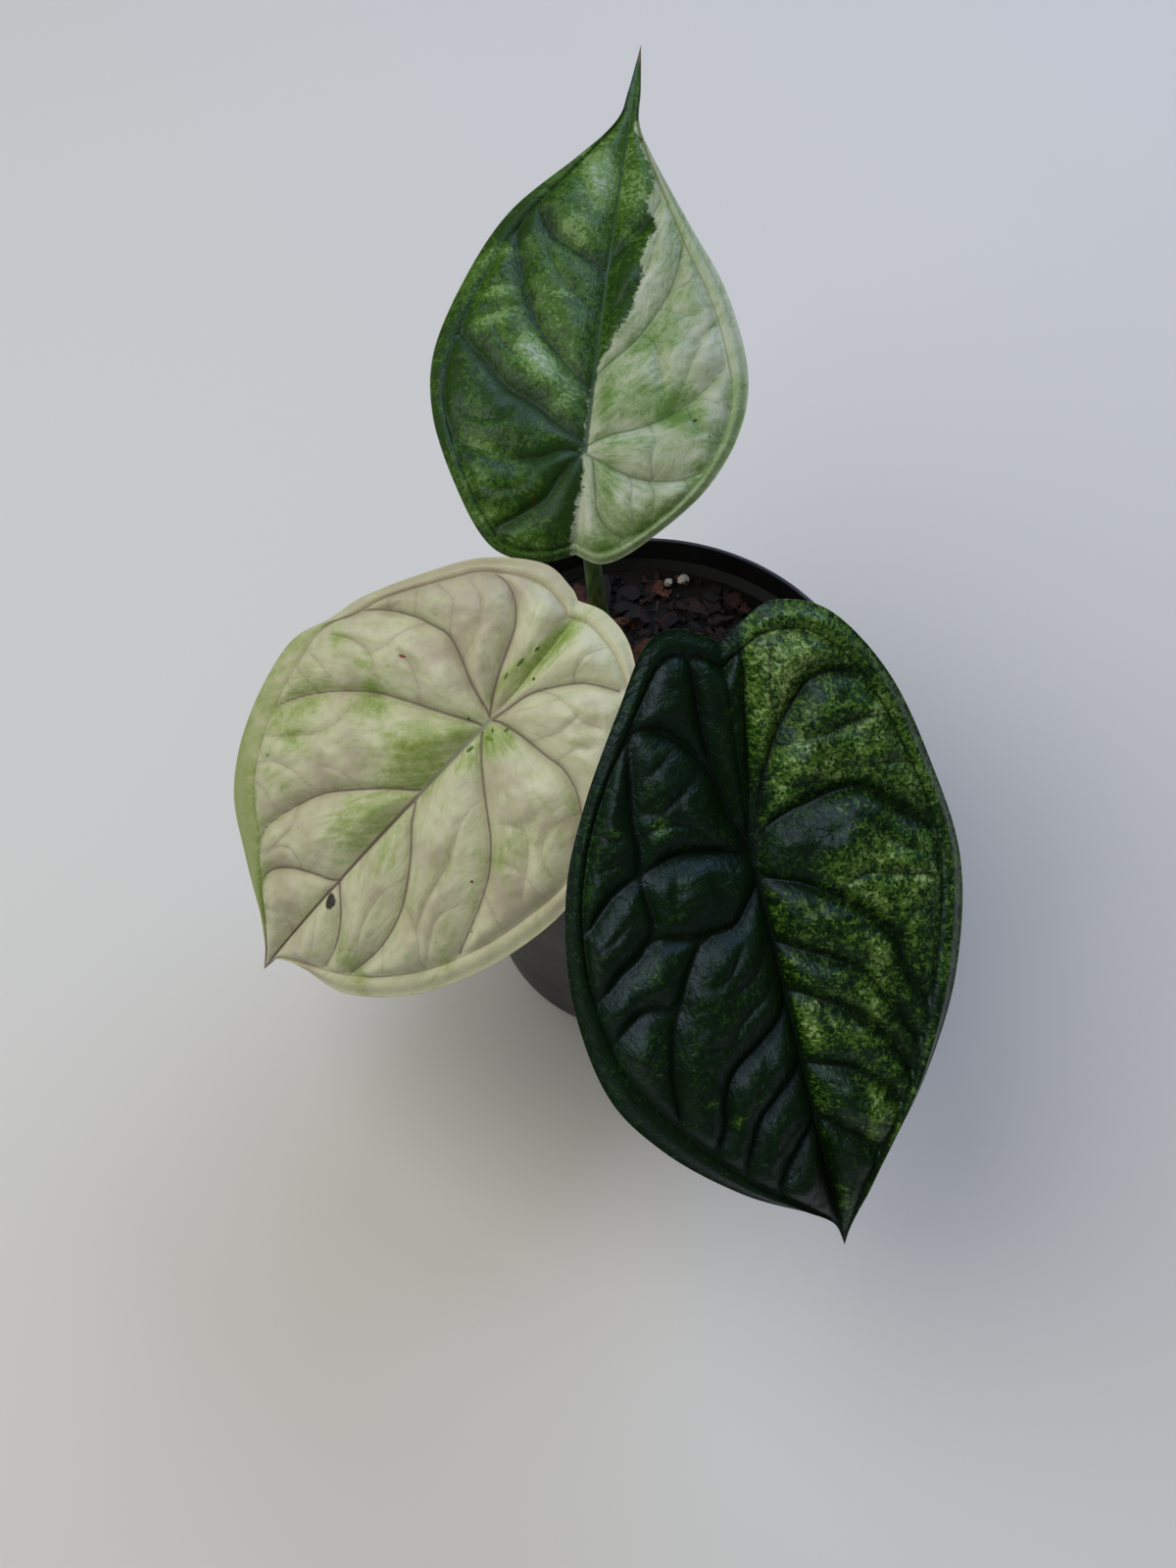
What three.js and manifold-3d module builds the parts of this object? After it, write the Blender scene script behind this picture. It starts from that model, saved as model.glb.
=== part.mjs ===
// A potted aegis alocasia with three variegated, shield-shaped leaves.
// Millimetres, +Z up. The origin is the middle of the pot's flat base, where the pot stands.
// Each leaf is drawn flat first: p runs to the leaf's own right and q from the petiole to the tip.
// It is then bent, folded and puffed up between its veins.

import * as THREE from 'three';
import { mergeVertices } from 'three/addons/utils/BufferGeometryUtils.js';
import Module from 'manifold-3d';

const wasm = await Module();
wasm.setup();

// Pot
const potHeight = 88;
const rimRadius = 50;
const baseRadius = 36;
const potWall = 1.4;
const potFloor = 1.8;
const lipDepth = 9;
const lipStep = 2.2;
const potSides = 40;
const drainHoles = 8;
const drainRadius = 4;
const drainCircle = 24;

// Soil and what is in it
const clearance = 0.35;
const soilEdgeHeight = 79.5;
const soilMound = 2;
const chipCount = 58;
const chipSeed = 7;
const crown = new THREE.Vector2(-4, 7.5);
const cormTop = 72;
const cormRadius = 8.8;
const cormLength = 22;
const rootCount = 6;

// Petioles
const petioleBaseRing = 3.4;
const petioleBaseRadius = 2.5;
const petioleTopRadius = 1.5;
const seatGap = 0.3;

// Leaf blades
const bladeThickness = 1;
const midribDepth = 1;
const veinRibDepth = 0.7;
const panelBulge = 2.2;
const fullPanelWidth = 15;
const marginRoll = 0.5;
const linesPerPanel = [0, 0.3, 0.7];
const ringsAcross = [0, 0.12, 0.3, 0.5, 0.7, 0.83, 0.9, 0.95, 1];
const forwardSpan = 90;
const backwardSpan = 30;
const sideSpan = 40;

// One main vein of a blade, the same on both halves. It leaves the midrib "from" mm ahead of the
// petiole at the angle "lead" from the way to the tip, and "reach" is how far it keeps to that
// angle, as a share of its chord. "right" and "left" say where it meets each half's margin, from 0
// at the tip to 1 at the notch, and "sunk" is how deep it lies between the puffed-up panels.
function vein(from, lead, reach, right, left, sunk) {
  return { from, lead, reach, right, left, sunk };
}

// Angles are in degrees. The heading is the way the tip points, seen from above, from +X to +Y.
const leafSpecs = [
  {
    name: 'left',
    color: 0xd3d3ae,
    roughness: 0.5,
    attachment: new THREE.Vector3(-32, -27.7, 133),
    heading: 210,
    droop: 42,
    roll: 16,
    tipBend: 27,
    baseBend: 23,
    fold: 8,
    curl: -20,
    tipSway: 3.4,
    baseSway: 3.5,
    petioleAngle: 215,
    petioleRise: new THREE.Vector3(-2, -3, 24),
    petioleArrival: 26,
    right: [
      [6, 82.5], [11, 76], [21, 67.5], [32, 58.5], [39.5, 44], [43.2, 25], [39.5, 13],
      [37, 4], [30.5, -9.5], [24, -20.5], [15, -28.5], [8, -29.5],
    ],
    left: [
      [1.8, 82.5], [-5, 76.5], [-15, 71], [-25, 58.5], [-31.5, 45], [-36, 28.5],
      [-37, 12], [-32.5, -5.5], [-22, -21.5], [-10, -30], [-1, -31.3],
    ],
    notch: [5, -28.8],
    veins: [
      vein(90, 45, 0.5, 0, 0, 1),
      vein(74, 45, 0.5, 0.08, 0.07, 0.6),
      vein(52, 58, 0.5, 0.145, 0.13, 0.8),
      vein(36, 50, 0.5, 0.175, 0.15, 0.3),
      vein(21, 43, 0.5, 0.205, 0.175, 1),
      vein(11, 50, 0.5, 0.31, 0.27, 0.3),
      vein(2.5, 60, 0.5, 0.42, 0.36, 1),
      vein(0, 85, 0.5, 0.49, 0.48, 0.3),
      vein(0, 112, 0.62, 0.56, 0.61, 1),
      vein(0, 135, 0.7, 0.69, 0.73, 0.35),
      vein(0, 157, 0.8, 0.82, 0.84, 0.9),
      vein(0, 168, 0.5, 0.94, 0.93, 0.6),
      vein(0, 180, 0.5, 1, 1, 1),
    ],
  },
  {
    name: 'back',
    color: 0x7f9468,
    roughness: 0.45,
    attachment: new THREE.Vector3(-13.5, 16.7, 160),
    heading: 84,
    droop: -8,
    roll: 0,
    tipBend: 0,
    baseBend: 56,
    fold: 12,
    curl: -25,
    tipSway: 1.2,
    baseSway: 0,
    petioleAngle: 95,
    petioleRise: new THREE.Vector3(-7, 0, 36),
    petioleArrival: 34,
    right: [
      [2.6, 88], [3.2, 79], [7, 70], [16, 53.5], [24.5, 38.5], [30.2, 21], [29.8, 7],
      [24.5, -6], [14, -16.5], [6, -21.5],
    ],
    left: [
      [-0.1, 87], [-1.8, 79], [-9, 68.5], [-21, 53.5], [-28, 37.5], [-32.3, 19.5],
      [-30.5, 4.5], [-24.5, -9], [-16.5, -19.8], [-7, -22.2],
    ],
    notch: [0, -20.4],
    veins: [
      vein(100, 45, 0.5, 0, 0, 1),
      vein(80, 45, 0.5, 0.14, 0.13, 0.5),
      vein(66, 45, 0.5, 0.2, 0.19, 0.7),
      vein(45, 48, 0.5, 0.27, 0.26, 0.8),
      vein(30, 48, 0.5, 0.32, 0.31, 0.3),
      vein(17, 48, 0.5, 0.36, 0.36, 1),
      vein(8, 55, 0.5, 0.46, 0.44, 0.3),
      vein(1.5, 66, 0.5, 0.55, 0.53, 1),
      vein(0, 100, 0.55, 0.69, 0.66, 0.9),
      vein(0, 130, 0.6, 0.78, 0.77, 0.35),
      vein(0, 160, 0.7, 0.88, 0.87, 0.8),
      vein(0, 180, 0.5, 1, 1, 1),
    ],
  },
  {
    name: 'right',
    color: 0x2c4524,
    roughness: 0.35,
    attachment: new THREE.Vector3(17.7, -60.1, 138),
    heading: 286,
    droop: 35,
    roll: 0,
    tipBend: 27,
    baseBend: -10,
    fold: 25,
    curl: -42,
    tipSway: -4.2,
    baseSway: -1,
    petioleAngle: 335,
    petioleRise: new THREE.Vector3(0, -8, 26),
    petioleArrival: 34,
    right: [
      [-1.8, 77], [4, 71.2], [17, 61.5], [30, 49], [38, 36], [40.3, 17], [37, -2],
      [30, -18], [20.5, -34], [13.5, -44.5], [7, -45.8],
    ],
    left: [
      [-5.8, 77], [-12, 65], [-24, 47], [-33.5, 29], [-38.8, 9], [-36.5, -11],
      [-31.5, -28.5], [-22.5, -42.8], [-13, -47], [-6.5, -44],
    ],
    notch: [-1.8, -40.4],
    veins: [
      vein(83.3, 45, 0.5, 0, 0, 1),
      vein(68, 45, 0.5, 0.09, 0.09, 0.6),
      vein(53, 55, 0.5, 0.15, 0.18, 0.9),
      vein(42, 58, 0.5, 0.195, 0.26, 0.9),
      vein(28, 52, 0.5, 0.24, 0.32, 1),
      vein(15, 52, 0.5, 0.28, 0.38, 0.7),
      vein(4, 54, 0.5, 0.32, 0.44, 1),
      vein(1.5, 80, 0.5, 0.42, 0.48, 0.3),
      vein(0, 115, 0.6, 0.51, 0.52, 1),
      vein(0, 145, 0.8, 0.6, 0.59, 0.3),
      vein(0, 163, 1, 0.7, 0.67, 1),
      vein(0, 168, 0.8, 0.82, 0.8, 0.35),
      vein(0, 173, 0.5, 0.93, 0.92, 0.8),
      vein(0, 180, 0.5, 1, 1, 1),
    ],
  },
];

// Helpers

function seededRandom(seed) {
  let state = seed;
  return () => {
    state = (state * 1664525 + 1013904223) % 4294967296;
    return state / 4294967296;
  };
}

function smoothStep(value, start, end) {
  const t = THREE.MathUtils.clamp((value - start) / (end - start), 0, 1);
  return t * t * (3 - 2 * t);
}

// Triangles given corner by corner become one geometry without doubled points.
function closedGeometry(corners) {
  const geometry = new THREE.BufferGeometry();
  geometry.setAttribute('position', new THREE.Float32BufferAttribute(corners, 3));
  return mergeVertices(geometry, 1e-4);
}

function toSolid(geometry) {
  const plain = geometry.clone();
  plain.deleteAttribute('normal');
  plain.deleteAttribute('uv');
  const merged = mergeVertices(plain, 1e-4);
  const vertProperties = new Float32Array(merged.attributes.position.array);
  const triVerts = new Uint32Array(merged.index.array);
  return new wasm.Manifold(new wasm.Mesh({ numProp: 3, vertProperties, triVerts }));
}

function toGeometry(solid) {
  const mesh = solid.getMesh();
  const geometry = new THREE.BufferGeometry();
  geometry.setAttribute('position', new THREE.BufferAttribute(mesh.vertProperties, 3));
  geometry.setIndex(new THREE.BufferAttribute(mesh.triVerts, 1));
  return geometry;
}

function namedMesh(name, geometry, color, roughness) {
  geometry.computeVertexNormals();
  const material = new THREE.MeshStandardMaterial({ color, roughness, metalness: 0 });
  const mesh = new THREE.Mesh(geometry, material);
  mesh.name = name;
  return mesh;
}

// A round stalk along a curve, narrowing from its first radius to its last, closed at both ends.
// A grown stalk is thicker and longer by the same amount: the room that the stalk stands in.
function stalkGeometry(curve, firstRadius, lastRadius, steps, sides, grow = 0) {
  const frames = curve.computeFrenetFrames(steps, false);
  const rings = [];
  for (let step = 0; step <= steps; step += 1) {
    const along = step / steps;
    const centre = curve.getPointAt(along);
    const radius = THREE.MathUtils.lerp(firstRadius, lastRadius, along ** 0.7) + grow;
    if (step === 0) centre.addScaledVector(frames.tangents[step], -grow);
    if (step === steps) centre.addScaledVector(frames.tangents[step], grow);
    const ring = [];
    for (let side = 0; side < sides; side += 1) {
      const angle = (side / sides) * 2 * Math.PI;
      const point = centre.clone();
      point.addScaledVector(frames.normals[step], Math.cos(angle) * radius);
      point.addScaledVector(frames.binormals[step], Math.sin(angle) * radius);
      ring.push(point);
    }
    rings.push(ring);
  }
  const corners = [];
  const triangle = (a, b, c) => corners.push(...a.toArray(), ...b.toArray(), ...c.toArray());
  for (let step = 0; step < steps; step += 1) {
    for (let side = 0; side < sides; side += 1) {
      const next = (side + 1) % sides;
      triangle(rings[step][side], rings[step][next], rings[step + 1][next]);
      triangle(rings[step][side], rings[step + 1][next], rings[step + 1][side]);
    }
  }
  for (let side = 1; side < sides - 1; side += 1) {
    triangle(rings[0][0], rings[0][side + 1], rings[0][side]);
    triangle(rings[steps][0], rings[steps][side], rings[steps][side + 1]);
  }
  return closedGeometry(corners);
}

function latheUpright(profile, sides) {
  const points = profile.map(([radius, height]) => new THREE.Vector2(radius, height));
  const geometry = new THREE.LatheGeometry(points, sides);
  geometry.rotateX(Math.PI / 2);
  return geometry;
}

// Leaf blades

function bladeFrame(spec) {
  const heading = THREE.MathUtils.degToRad(spec.heading);
  const droop = THREE.MathUtils.degToRad(spec.droop);
  const roll = THREE.MathUtils.degToRad(spec.roll);
  const ahead = new THREE.Vector3(
    Math.cos(heading) * Math.cos(droop),
    Math.sin(heading) * Math.cos(droop),
    -Math.sin(droop),
  );
  const level = new THREE.Vector3().crossVectors(ahead, new THREE.Vector3(0, 0, 1)).normalize();
  const across = level.clone().applyAxisAngle(ahead, -roll);
  const up = new THREE.Vector3().crossVectors(across, ahead);
  return { ahead, across, up };
}

// The midrib bends down towards the tip, and the lobes behind the petiole bend down or up.
function midribAngle(spec, q) {
  if (q >= 0) return THREE.MathUtils.degToRad(spec.tipBend) * (q / forwardSpan) ** 1.5;
  return THREE.MathUtils.degToRad(spec.baseBend) * (q / backwardSpan);
}

function midribSway(spec, q) {
  if (q >= 0) return spec.tipSway * (q / forwardSpan) ** 2;
  return spec.baseSway * (q / backwardSpan) ** 2;
}

// A point of the flat drawing, raised by "height" from it, on the bent and folded blade.
function bentPoint(spec, frame, p, q, height) {
  const samples = 24;
  const sway = midribSway(spec, q);
  const side = Math.sign(p - sway);
  const reach = Math.abs(p - sway);
  let forward = 0;
  let rise = 0;
  let sideways = 0;
  let lift = height;
  for (let sample = 0; sample < samples; sample += 1) {
    const share = (sample + 0.5) / samples;
    const pitch = midribAngle(spec, q * share);
    forward += (Math.cos(pitch) * q) / samples;
    rise -= (Math.sin(pitch) * q) / samples;
    const tilt = THREE.MathUtils.degToRad(spec.fold + (spec.curl * reach * share) / sideSpan);
    sideways += (Math.cos(tilt) * reach) / samples;
    lift += (Math.sin(tilt) * reach) / samples;
  }
  const pitch = midribAngle(spec, q);
  return spec.attachment.clone()
    .addScaledVector(frame.across, sway + side * sideways)
    .addScaledVector(frame.ahead, forward + lift * Math.sin(pitch))
    .addScaledVector(frame.up, rise + lift * Math.cos(pitch));
}

// The line of one vein, or of a line between two veins, across one half of the flat drawing.
function veinCurve(spec, half, row) {
  const first = Math.min(Math.floor(row), spec.veins.length - 2);
  const share = row - first;
  const mix = (key) => THREE.MathUtils.lerp(spec.veins[first][key], spec.veins[first + 1][key], share);
  const start = new THREE.Vector2(midribSway(spec, mix('from')), mix('from'));
  const end = half.outline.getPointAt(mix(half.name));
  const lead = THREE.MathUtils.degToRad(mix('lead'));
  const handle = start.distanceTo(end) * mix('reach');
  const control = new THREE.Vector2(half.sign * Math.sin(lead), Math.cos(lead));
  control.multiplyScalar(handle).add(start);
  return new THREE.QuadraticBezierCurve(start, control, end);
}

// The blade puffs up between its veins and dips at the line just inside its smooth rolled margin.
function panelHeight(spec, half, row, across) {
  const first = Math.min(Math.floor(row), spec.veins.length - 2);
  const share = row - first;
  const sunk = THREE.MathUtils.lerp(spec.veins[first].sunk, spec.veins[first + 1].sunk, share);
  const here = half.curves[first].getPoint(across);
  const next = half.curves[first + 1].getPoint(across);
  const widthShare = Math.min(1, here.distanceTo(next) / fullPanelWidth);
  const pillow = 1 - sunk + sunk * Math.sin(Math.PI * share) ** 0.7;
  const inside = smoothStep(across, 0, 0.2) * (1 - smoothStep(across, 0.8, 0.9));
  const roll = smoothStep(across, 0.9, 0.95) * (1 - smoothStep(across, 0.95, 1));
  return panelBulge * widthShare * pillow * inside + marginRoll * roll * Math.min(1, row);
}

// Beneath, the midrib and the main veins stand out as ribs that thin towards the margin.
function depthBelow(spec, row, across) {
  const nearest = Math.round(row);
  const onVein = 1 - Math.min(1, Math.abs(row - nearest) / 0.3);
  const towardsTip = Math.min(1, row);
  const rib = veinRibDepth * onVein * spec.veins[nearest].sunk * (1 - across) * towardsTip;
  const midrib = midribDepth * (1 - smoothStep(across, 0, 0.12)) * towardsTip;
  return bladeThickness + Math.max(rib, midrib);
}

function bladeGeometry(spec) {
  const frame = bladeFrame(spec);
  const lastRow = spec.veins.length - 1;
  const rows = [];
  for (let panel = 0; panel < lastRow; panel += 1) {
    for (const share of linesPerPanel) rows.push(panel + share);
  }
  rows.push(lastRow);
  const corners = [];
  const triangle = (a, b, c) => {
    const touching = a.distanceTo(b) < 1e-4 || b.distanceTo(c) < 1e-4 || c.distanceTo(a) < 1e-4;
    if (!touching) corners.push(...a.toArray(), ...b.toArray(), ...c.toArray());
  };
  const tipAt = spec.veins[0].from;
  const tip = [midribSway(spec, tipAt), tipAt];
  for (const [name, sign] of [['right', 1], ['left', -1]]) {
    const points = [tip, ...spec[name], spec.notch].map(([p, q]) => new THREE.Vector2(p, q));
    const half = { name, sign, outline: new THREE.SplineCurve(points) };
    half.curves = spec.veins.map((unused, row) => veinCurve(spec, half, row));
    const top = [];
    const bottom = [];
    for (const row of rows) {
      const line = veinCurve(spec, half, row);
      const flat = ringsAcross.map((across) => line.getPoint(across));
      top.push(flat.map(({ x, y }, ring) =>
        bentPoint(spec, frame, x, y, panelHeight(spec, half, row, ringsAcross[ring]))));
      bottom.push(flat.map(({ x, y }, ring) => bentPoint(spec, frame, x, y,
        panelHeight(spec, half, row, ringsAcross[ring]) - depthBelow(spec, row, ringsAcross[ring]))));
    }
    const face = (a, b, c) => (sign > 0 ? triangle(a, b, c) : triangle(a, c, b));
    const edge = ringsAcross.length - 1;
    for (let row = 0; row < rows.length - 1; row += 1) {
      for (let ring = 0; ring < edge; ring += 1) {
        face(top[row][ring], top[row + 1][ring], top[row + 1][ring + 1]);
        face(top[row][ring], top[row + 1][ring + 1], top[row][ring + 1]);
        face(bottom[row][ring], bottom[row + 1][ring + 1], bottom[row + 1][ring]);
        face(bottom[row][ring], bottom[row][ring + 1], bottom[row + 1][ring + 1]);
      }
      face(top[row][edge], top[row + 1][edge], bottom[row + 1][edge]);
      face(top[row][edge], bottom[row + 1][edge], bottom[row][edge]);
    }
  }
  return closedGeometry(corners);
}

// Petioles

// A petiole leans as it leaves the corm, and the low edge of its foot is what rests there.
function petioleCurve(spec) {
  const angle = THREE.MathUtils.degToRad(spec.petioleAngle);
  const lean = spec.petioleRise.angleTo(new THREE.Vector3(0, 0, 1));
  const foot = new THREE.Vector3(
    crown.x + petioleBaseRing * Math.cos(angle),
    crown.y + petioleBaseRing * Math.sin(angle),
    cormTop + seatGap + petioleBaseRadius * Math.sin(lean),
  );
  const { up } = bladeFrame(spec);
  const head = spec.attachment.clone().addScaledVector(up, -(bladeThickness + midribDepth + seatGap));
  return new THREE.CubicBezierCurve3(
    foot,
    foot.clone().add(spec.petioleRise),
    head.clone().addScaledVector(up, -spec.petioleArrival),
    head,
  );
}

function petioleGeometry(spec, grow = 0) {
  return stalkGeometry(petioleCurve(spec), petioleBaseRadius, petioleTopRadius, 18, 10, grow);
}

// Corm and roots

function cormSolid(grow = 0) {
  const radius = cormRadius + grow;
  const top = cormTop + grow;
  const bottom = cormTop - cormLength - grow;
  const profile = [
    [0, bottom],
    [0.6 * radius, bottom + 2],
    [0.93 * radius, bottom + 0.35 * cormLength],
    [radius, bottom + 0.6 * cormLength],
    [0.88 * radius, top - 2.5],
    [0.78 * radius, top],
    [0, top],
  ];
  const corm = latheUpright(profile, 16);
  corm.translate(crown.x, crown.y, 0);
  let solid = toSolid(corm);
  for (let root = 0; root < rootCount; root += 1) {
    const angle = ((root + 0.5) / rootCount) * 2 * Math.PI;
    const outward = new THREE.Vector3(Math.cos(angle), Math.sin(angle), 0);
    const start = new THREE.Vector3(crown.x, crown.y, cormTop - 0.65 * cormLength);
    const drop = 26 + 5 * (root % 3);
    const curve = new THREE.QuadraticBezierCurve3(
      start.clone().addScaledVector(outward, 0.5 * cormRadius),
      start.clone().addScaledVector(outward, 2.4 * cormRadius),
      start.clone().addScaledVector(outward, 2.6 * cormRadius).setZ(start.z - drop),
    );
    solid = solid.add(toSolid(stalkGeometry(curve, 1.4, 0.8, 7, 7, grow)));
  }
  return solid;
}

// Pot

function potGeometry() {
  const lipFoot = potHeight - lipDepth;
  const wallTop = rimRadius - lipStep;
  const profile = [
    [0, 0],
    [baseRadius - 1.2, 0],
    [baseRadius, 1.2],
    [wallTop, lipFoot],
    [rimRadius, lipFoot + 1],
    [rimRadius, potHeight - 0.8],
    [rimRadius - 0.6, potHeight],
    [rimRadius - potWall, potHeight],
    [rimRadius - potWall - 0.2, lipFoot + 2.4],
    [wallTop - potWall, lipFoot + 0.6],
    [baseRadius - potWall, potFloor],
    [0, potFloor],
  ];
  let solid = toSolid(latheUpright(profile, potSides));
  for (let hole = 0; hole < drainHoles; hole += 1) {
    const angle = ((hole + 0.5) / drainHoles) * 2 * Math.PI;
    const drain = new THREE.CylinderGeometry(drainRadius, drainRadius, 4 * potFloor, 12);
    drain.rotateX(Math.PI / 2);
    drain.translate(drainCircle * Math.cos(angle), drainCircle * Math.sin(angle), potFloor / 2);
    solid = solid.subtract(toSolid(drain));
  }
  return toGeometry(solid);
}

// Soil, with pieces of bark standing out of it

function barkChip(random, reachFromMiddle) {
  const length = 6 + 8 * random();
  const width = 4 + 4 * random();
  const height = 3.5 + 2.5 * random();
  const chip = new THREE.BoxGeometry(length, width, height);
  chip.deleteAttribute('normal');
  chip.deleteAttribute('uv');
  const merged = mergeVertices(chip, 1e-4);
  const position = merged.attributes.position;
  for (let index = 0; index < position.count; index += 1) {
    position.setX(index, position.getX(index) * (0.7 + 0.3 * random()));
    position.setY(index, position.getY(index) * (0.6 + 0.4 * random()));
    position.setZ(index, position.getZ(index) * (0.7 + 0.3 * random()));
  }
  merged.rotateX(0.7 * (random() - 0.5));
  merged.rotateY(0.7 * (random() - 0.5));
  merged.rotateZ(2 * Math.PI * random());
  const angle = 2 * Math.PI * random();
  const distance = Math.sqrt(random()) * (reachFromMiddle - length / 2 - 1);
  const x = distance * Math.cos(angle);
  const y = distance * Math.sin(angle);
  merged.translate(x, y, soilEdgeHeight + soilMound * (1 - distance / rimRadius) + 0.15 * height);
  return { geometry: merged, awayFromCrown: Math.hypot(x - crown.x, y - crown.y) - length / 2 };
}

function soilGeometry() {
  const lipFoot = potHeight - lipDepth;
  const insideAt = (height) => THREE.MathUtils.mapLinear(
    height, 0, lipFoot, baseRadius - potWall, rimRadius - lipStep - potWall,
  ) - clearance;
  const foot = potFloor + clearance;
  const profile = [
    [0, foot],
    [insideAt(foot), foot],
    [insideAt(lipFoot), lipFoot],
    [insideAt(lipFoot) - 1, soilEdgeHeight],
    [0.55 * rimRadius, soilEdgeHeight + 0.5 * soilMound],
    [0, soilEdgeHeight + soilMound],
  ];
  let solid = toSolid(latheUpright(profile, potSides));
  const random = seededRandom(chipSeed);
  for (let count = 0; count < chipCount; count += 1) {
    const chip = barkChip(random, insideAt(lipFoot));
    if (chip.awayFromCrown > petioleBaseRing + petioleBaseRadius + 1) {
      solid = solid.add(toSolid(chip.geometry));
    }
  }
  solid = solid.subtract(cormSolid(clearance));
  for (const spec of leafSpecs) {
    solid = solid.subtract(toSolid(petioleGeometry(spec, clearance)));
  }
  return toGeometry(solid);
}

// The whole plant in its pot

const plant = new THREE.Group();
plant.add(namedMesh('pot', potGeometry(), 0x17171a, 0.5));
plant.add(namedMesh('soil', soilGeometry(), 0x2c1c16, 0.95));
plant.add(namedMesh('corm_and_roots', toGeometry(cormSolid()), 0x8a6a4c, 0.85));
for (const spec of leafSpecs) {
  plant.add(namedMesh(`petiole_${spec.name}`, petioleGeometry(spec), 0x55682f, 0.45));
  plant.add(namedMesh(`leaf_${spec.name}`, bladeGeometry(spec), spec.color, spec.roughness));
}

export default plant;
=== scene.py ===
import math
import random

import bpy
import numpy as np
from mathutils import Matrix, Vector, noise


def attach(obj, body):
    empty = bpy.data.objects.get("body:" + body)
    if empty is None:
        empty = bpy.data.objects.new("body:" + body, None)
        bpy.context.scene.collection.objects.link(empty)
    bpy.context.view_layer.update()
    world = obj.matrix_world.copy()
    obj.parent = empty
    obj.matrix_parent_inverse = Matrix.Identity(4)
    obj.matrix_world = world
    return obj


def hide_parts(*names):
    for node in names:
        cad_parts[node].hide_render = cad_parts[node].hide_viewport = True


# A potted aegis alocasia: three quilted, variegated leaves on round petioles in a bark mix.
# Lengths are in millimetres until they reach a mesh, which is in metres like the frame.

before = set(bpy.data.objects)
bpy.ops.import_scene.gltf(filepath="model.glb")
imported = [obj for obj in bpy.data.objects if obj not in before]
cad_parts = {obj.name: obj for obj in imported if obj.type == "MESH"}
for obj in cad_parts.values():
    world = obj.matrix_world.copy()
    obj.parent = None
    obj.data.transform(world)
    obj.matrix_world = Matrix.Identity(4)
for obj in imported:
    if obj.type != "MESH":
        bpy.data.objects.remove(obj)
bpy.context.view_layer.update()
mm = 0.001
scene = bpy.context.scene
print("frame loaded,", len(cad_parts), "CAD nodes")


# Small helpers for selecting, colours and nodes

def activate(*pieces):
    if bpy.context.mode != "OBJECT":
        bpy.ops.object.mode_set(mode="OBJECT")
    bpy.ops.object.select_all(action="DESELECT")
    for piece in pieces:
        piece.select_set(True)
    bpy.context.view_layer.objects.active = pieces[0]


def settle(piece, slot, replaced, surface):
    # the place goes into the mesh, then the piece rides with the plant
    activate(piece)
    bpy.ops.object.transform_apply(location=True, rotation=True, scale=True)
    piece.data.materials.clear()
    piece.data.materials.append(surface)
    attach(piece, "root")
    if replaced:
        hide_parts(replaced)


def hexToLinear(code):
    channels = [int(code[i:i + 2], 16) / 255 for i in (1, 3, 5)]
    return [c / 12.92 if c <= 0.04045 else ((c + 0.055) / 1.055) ** 2.4 for c in channels] + [1.0]


def addNode(tree, kind, settings, inputs):
    # gives back the output named by "out", or the first one in use
    node = tree.nodes.new(kind)
    for name, value in settings.items():
        if name == "ramp":
            ramp = node.color_ramp
            while len(ramp.elements) < len(value):
                ramp.elements.new(1.0)
            for element, (place, colour) in zip(ramp.elements, value):
                element.position = place
                element.color = hexToLinear(colour)
        elif name != "out":
            setattr(node, name, value)
    for key, value in inputs.items():
        if isinstance(value, bpy.types.NodeSocket):
            tree.links.new(value, node.inputs[key])
        elif isinstance(value, str):
            node.inputs[key].default_value = hexToLinear(value)
        else:
            node.inputs[key].default_value = value
    if "out" in settings:
        return node.outputs[settings["out"]]
    inUse = [output for output in node.outputs if output.enabled]
    return inUse[0] if inUse else node


# settings that many nodes share
eased = {"interpolation_type": "SMOOTHSTEP"}
times, plus, timesPlus = ({"operation": kind} for kind in ("MULTIPLY", "ADD", "MULTIPLY_ADD"))
inColour = {"data_type": "RGBA"}


def newSurface(name):
    surface = bpy.data.materials.new(name)
    surface.use_nodes = True
    surface.node_tree.nodes.clear()
    return surface, surface.node_tree


# Leaf blades. Each is drawn flat first, p to its own right and q from the petiole to the tip,
# then bent and folded by the same rules as the frame's solids, and puffed up between its veins.

bladeForm = {
    "thickness": 1.0,
    "midribDepth": 1.0,
    "veinRibDepth": 0.7,
    "marginLine": 0.88,  # share of the way out where the thin vein along the margin runs
    "forwardSpan": 90,
    "backwardSpan": 30,
    "sideSpan": 40,
    "linesPerRow": 26,
    "ringsInside": 62,
    "ringsInMargin": 12,
    "ringsBelow": 20,
    "bendSamples": 24,
    "edgeStart": 0.975,  # share of the way out where the edge starts to round off
    "edgeSpan": 0.025,  # the share that is left outside it
    "edgeThickness": 0.35,  # at the edge, as a share of the thickness
    "marginWidth": 0.11,  # share of the way out that the rolled margin takes
    "swellShare": 0.35,  # how unevenly the panels puff up
    "swellPitch": (0.13, 0.4),  # coarse and fine swells to each mm
}

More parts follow.
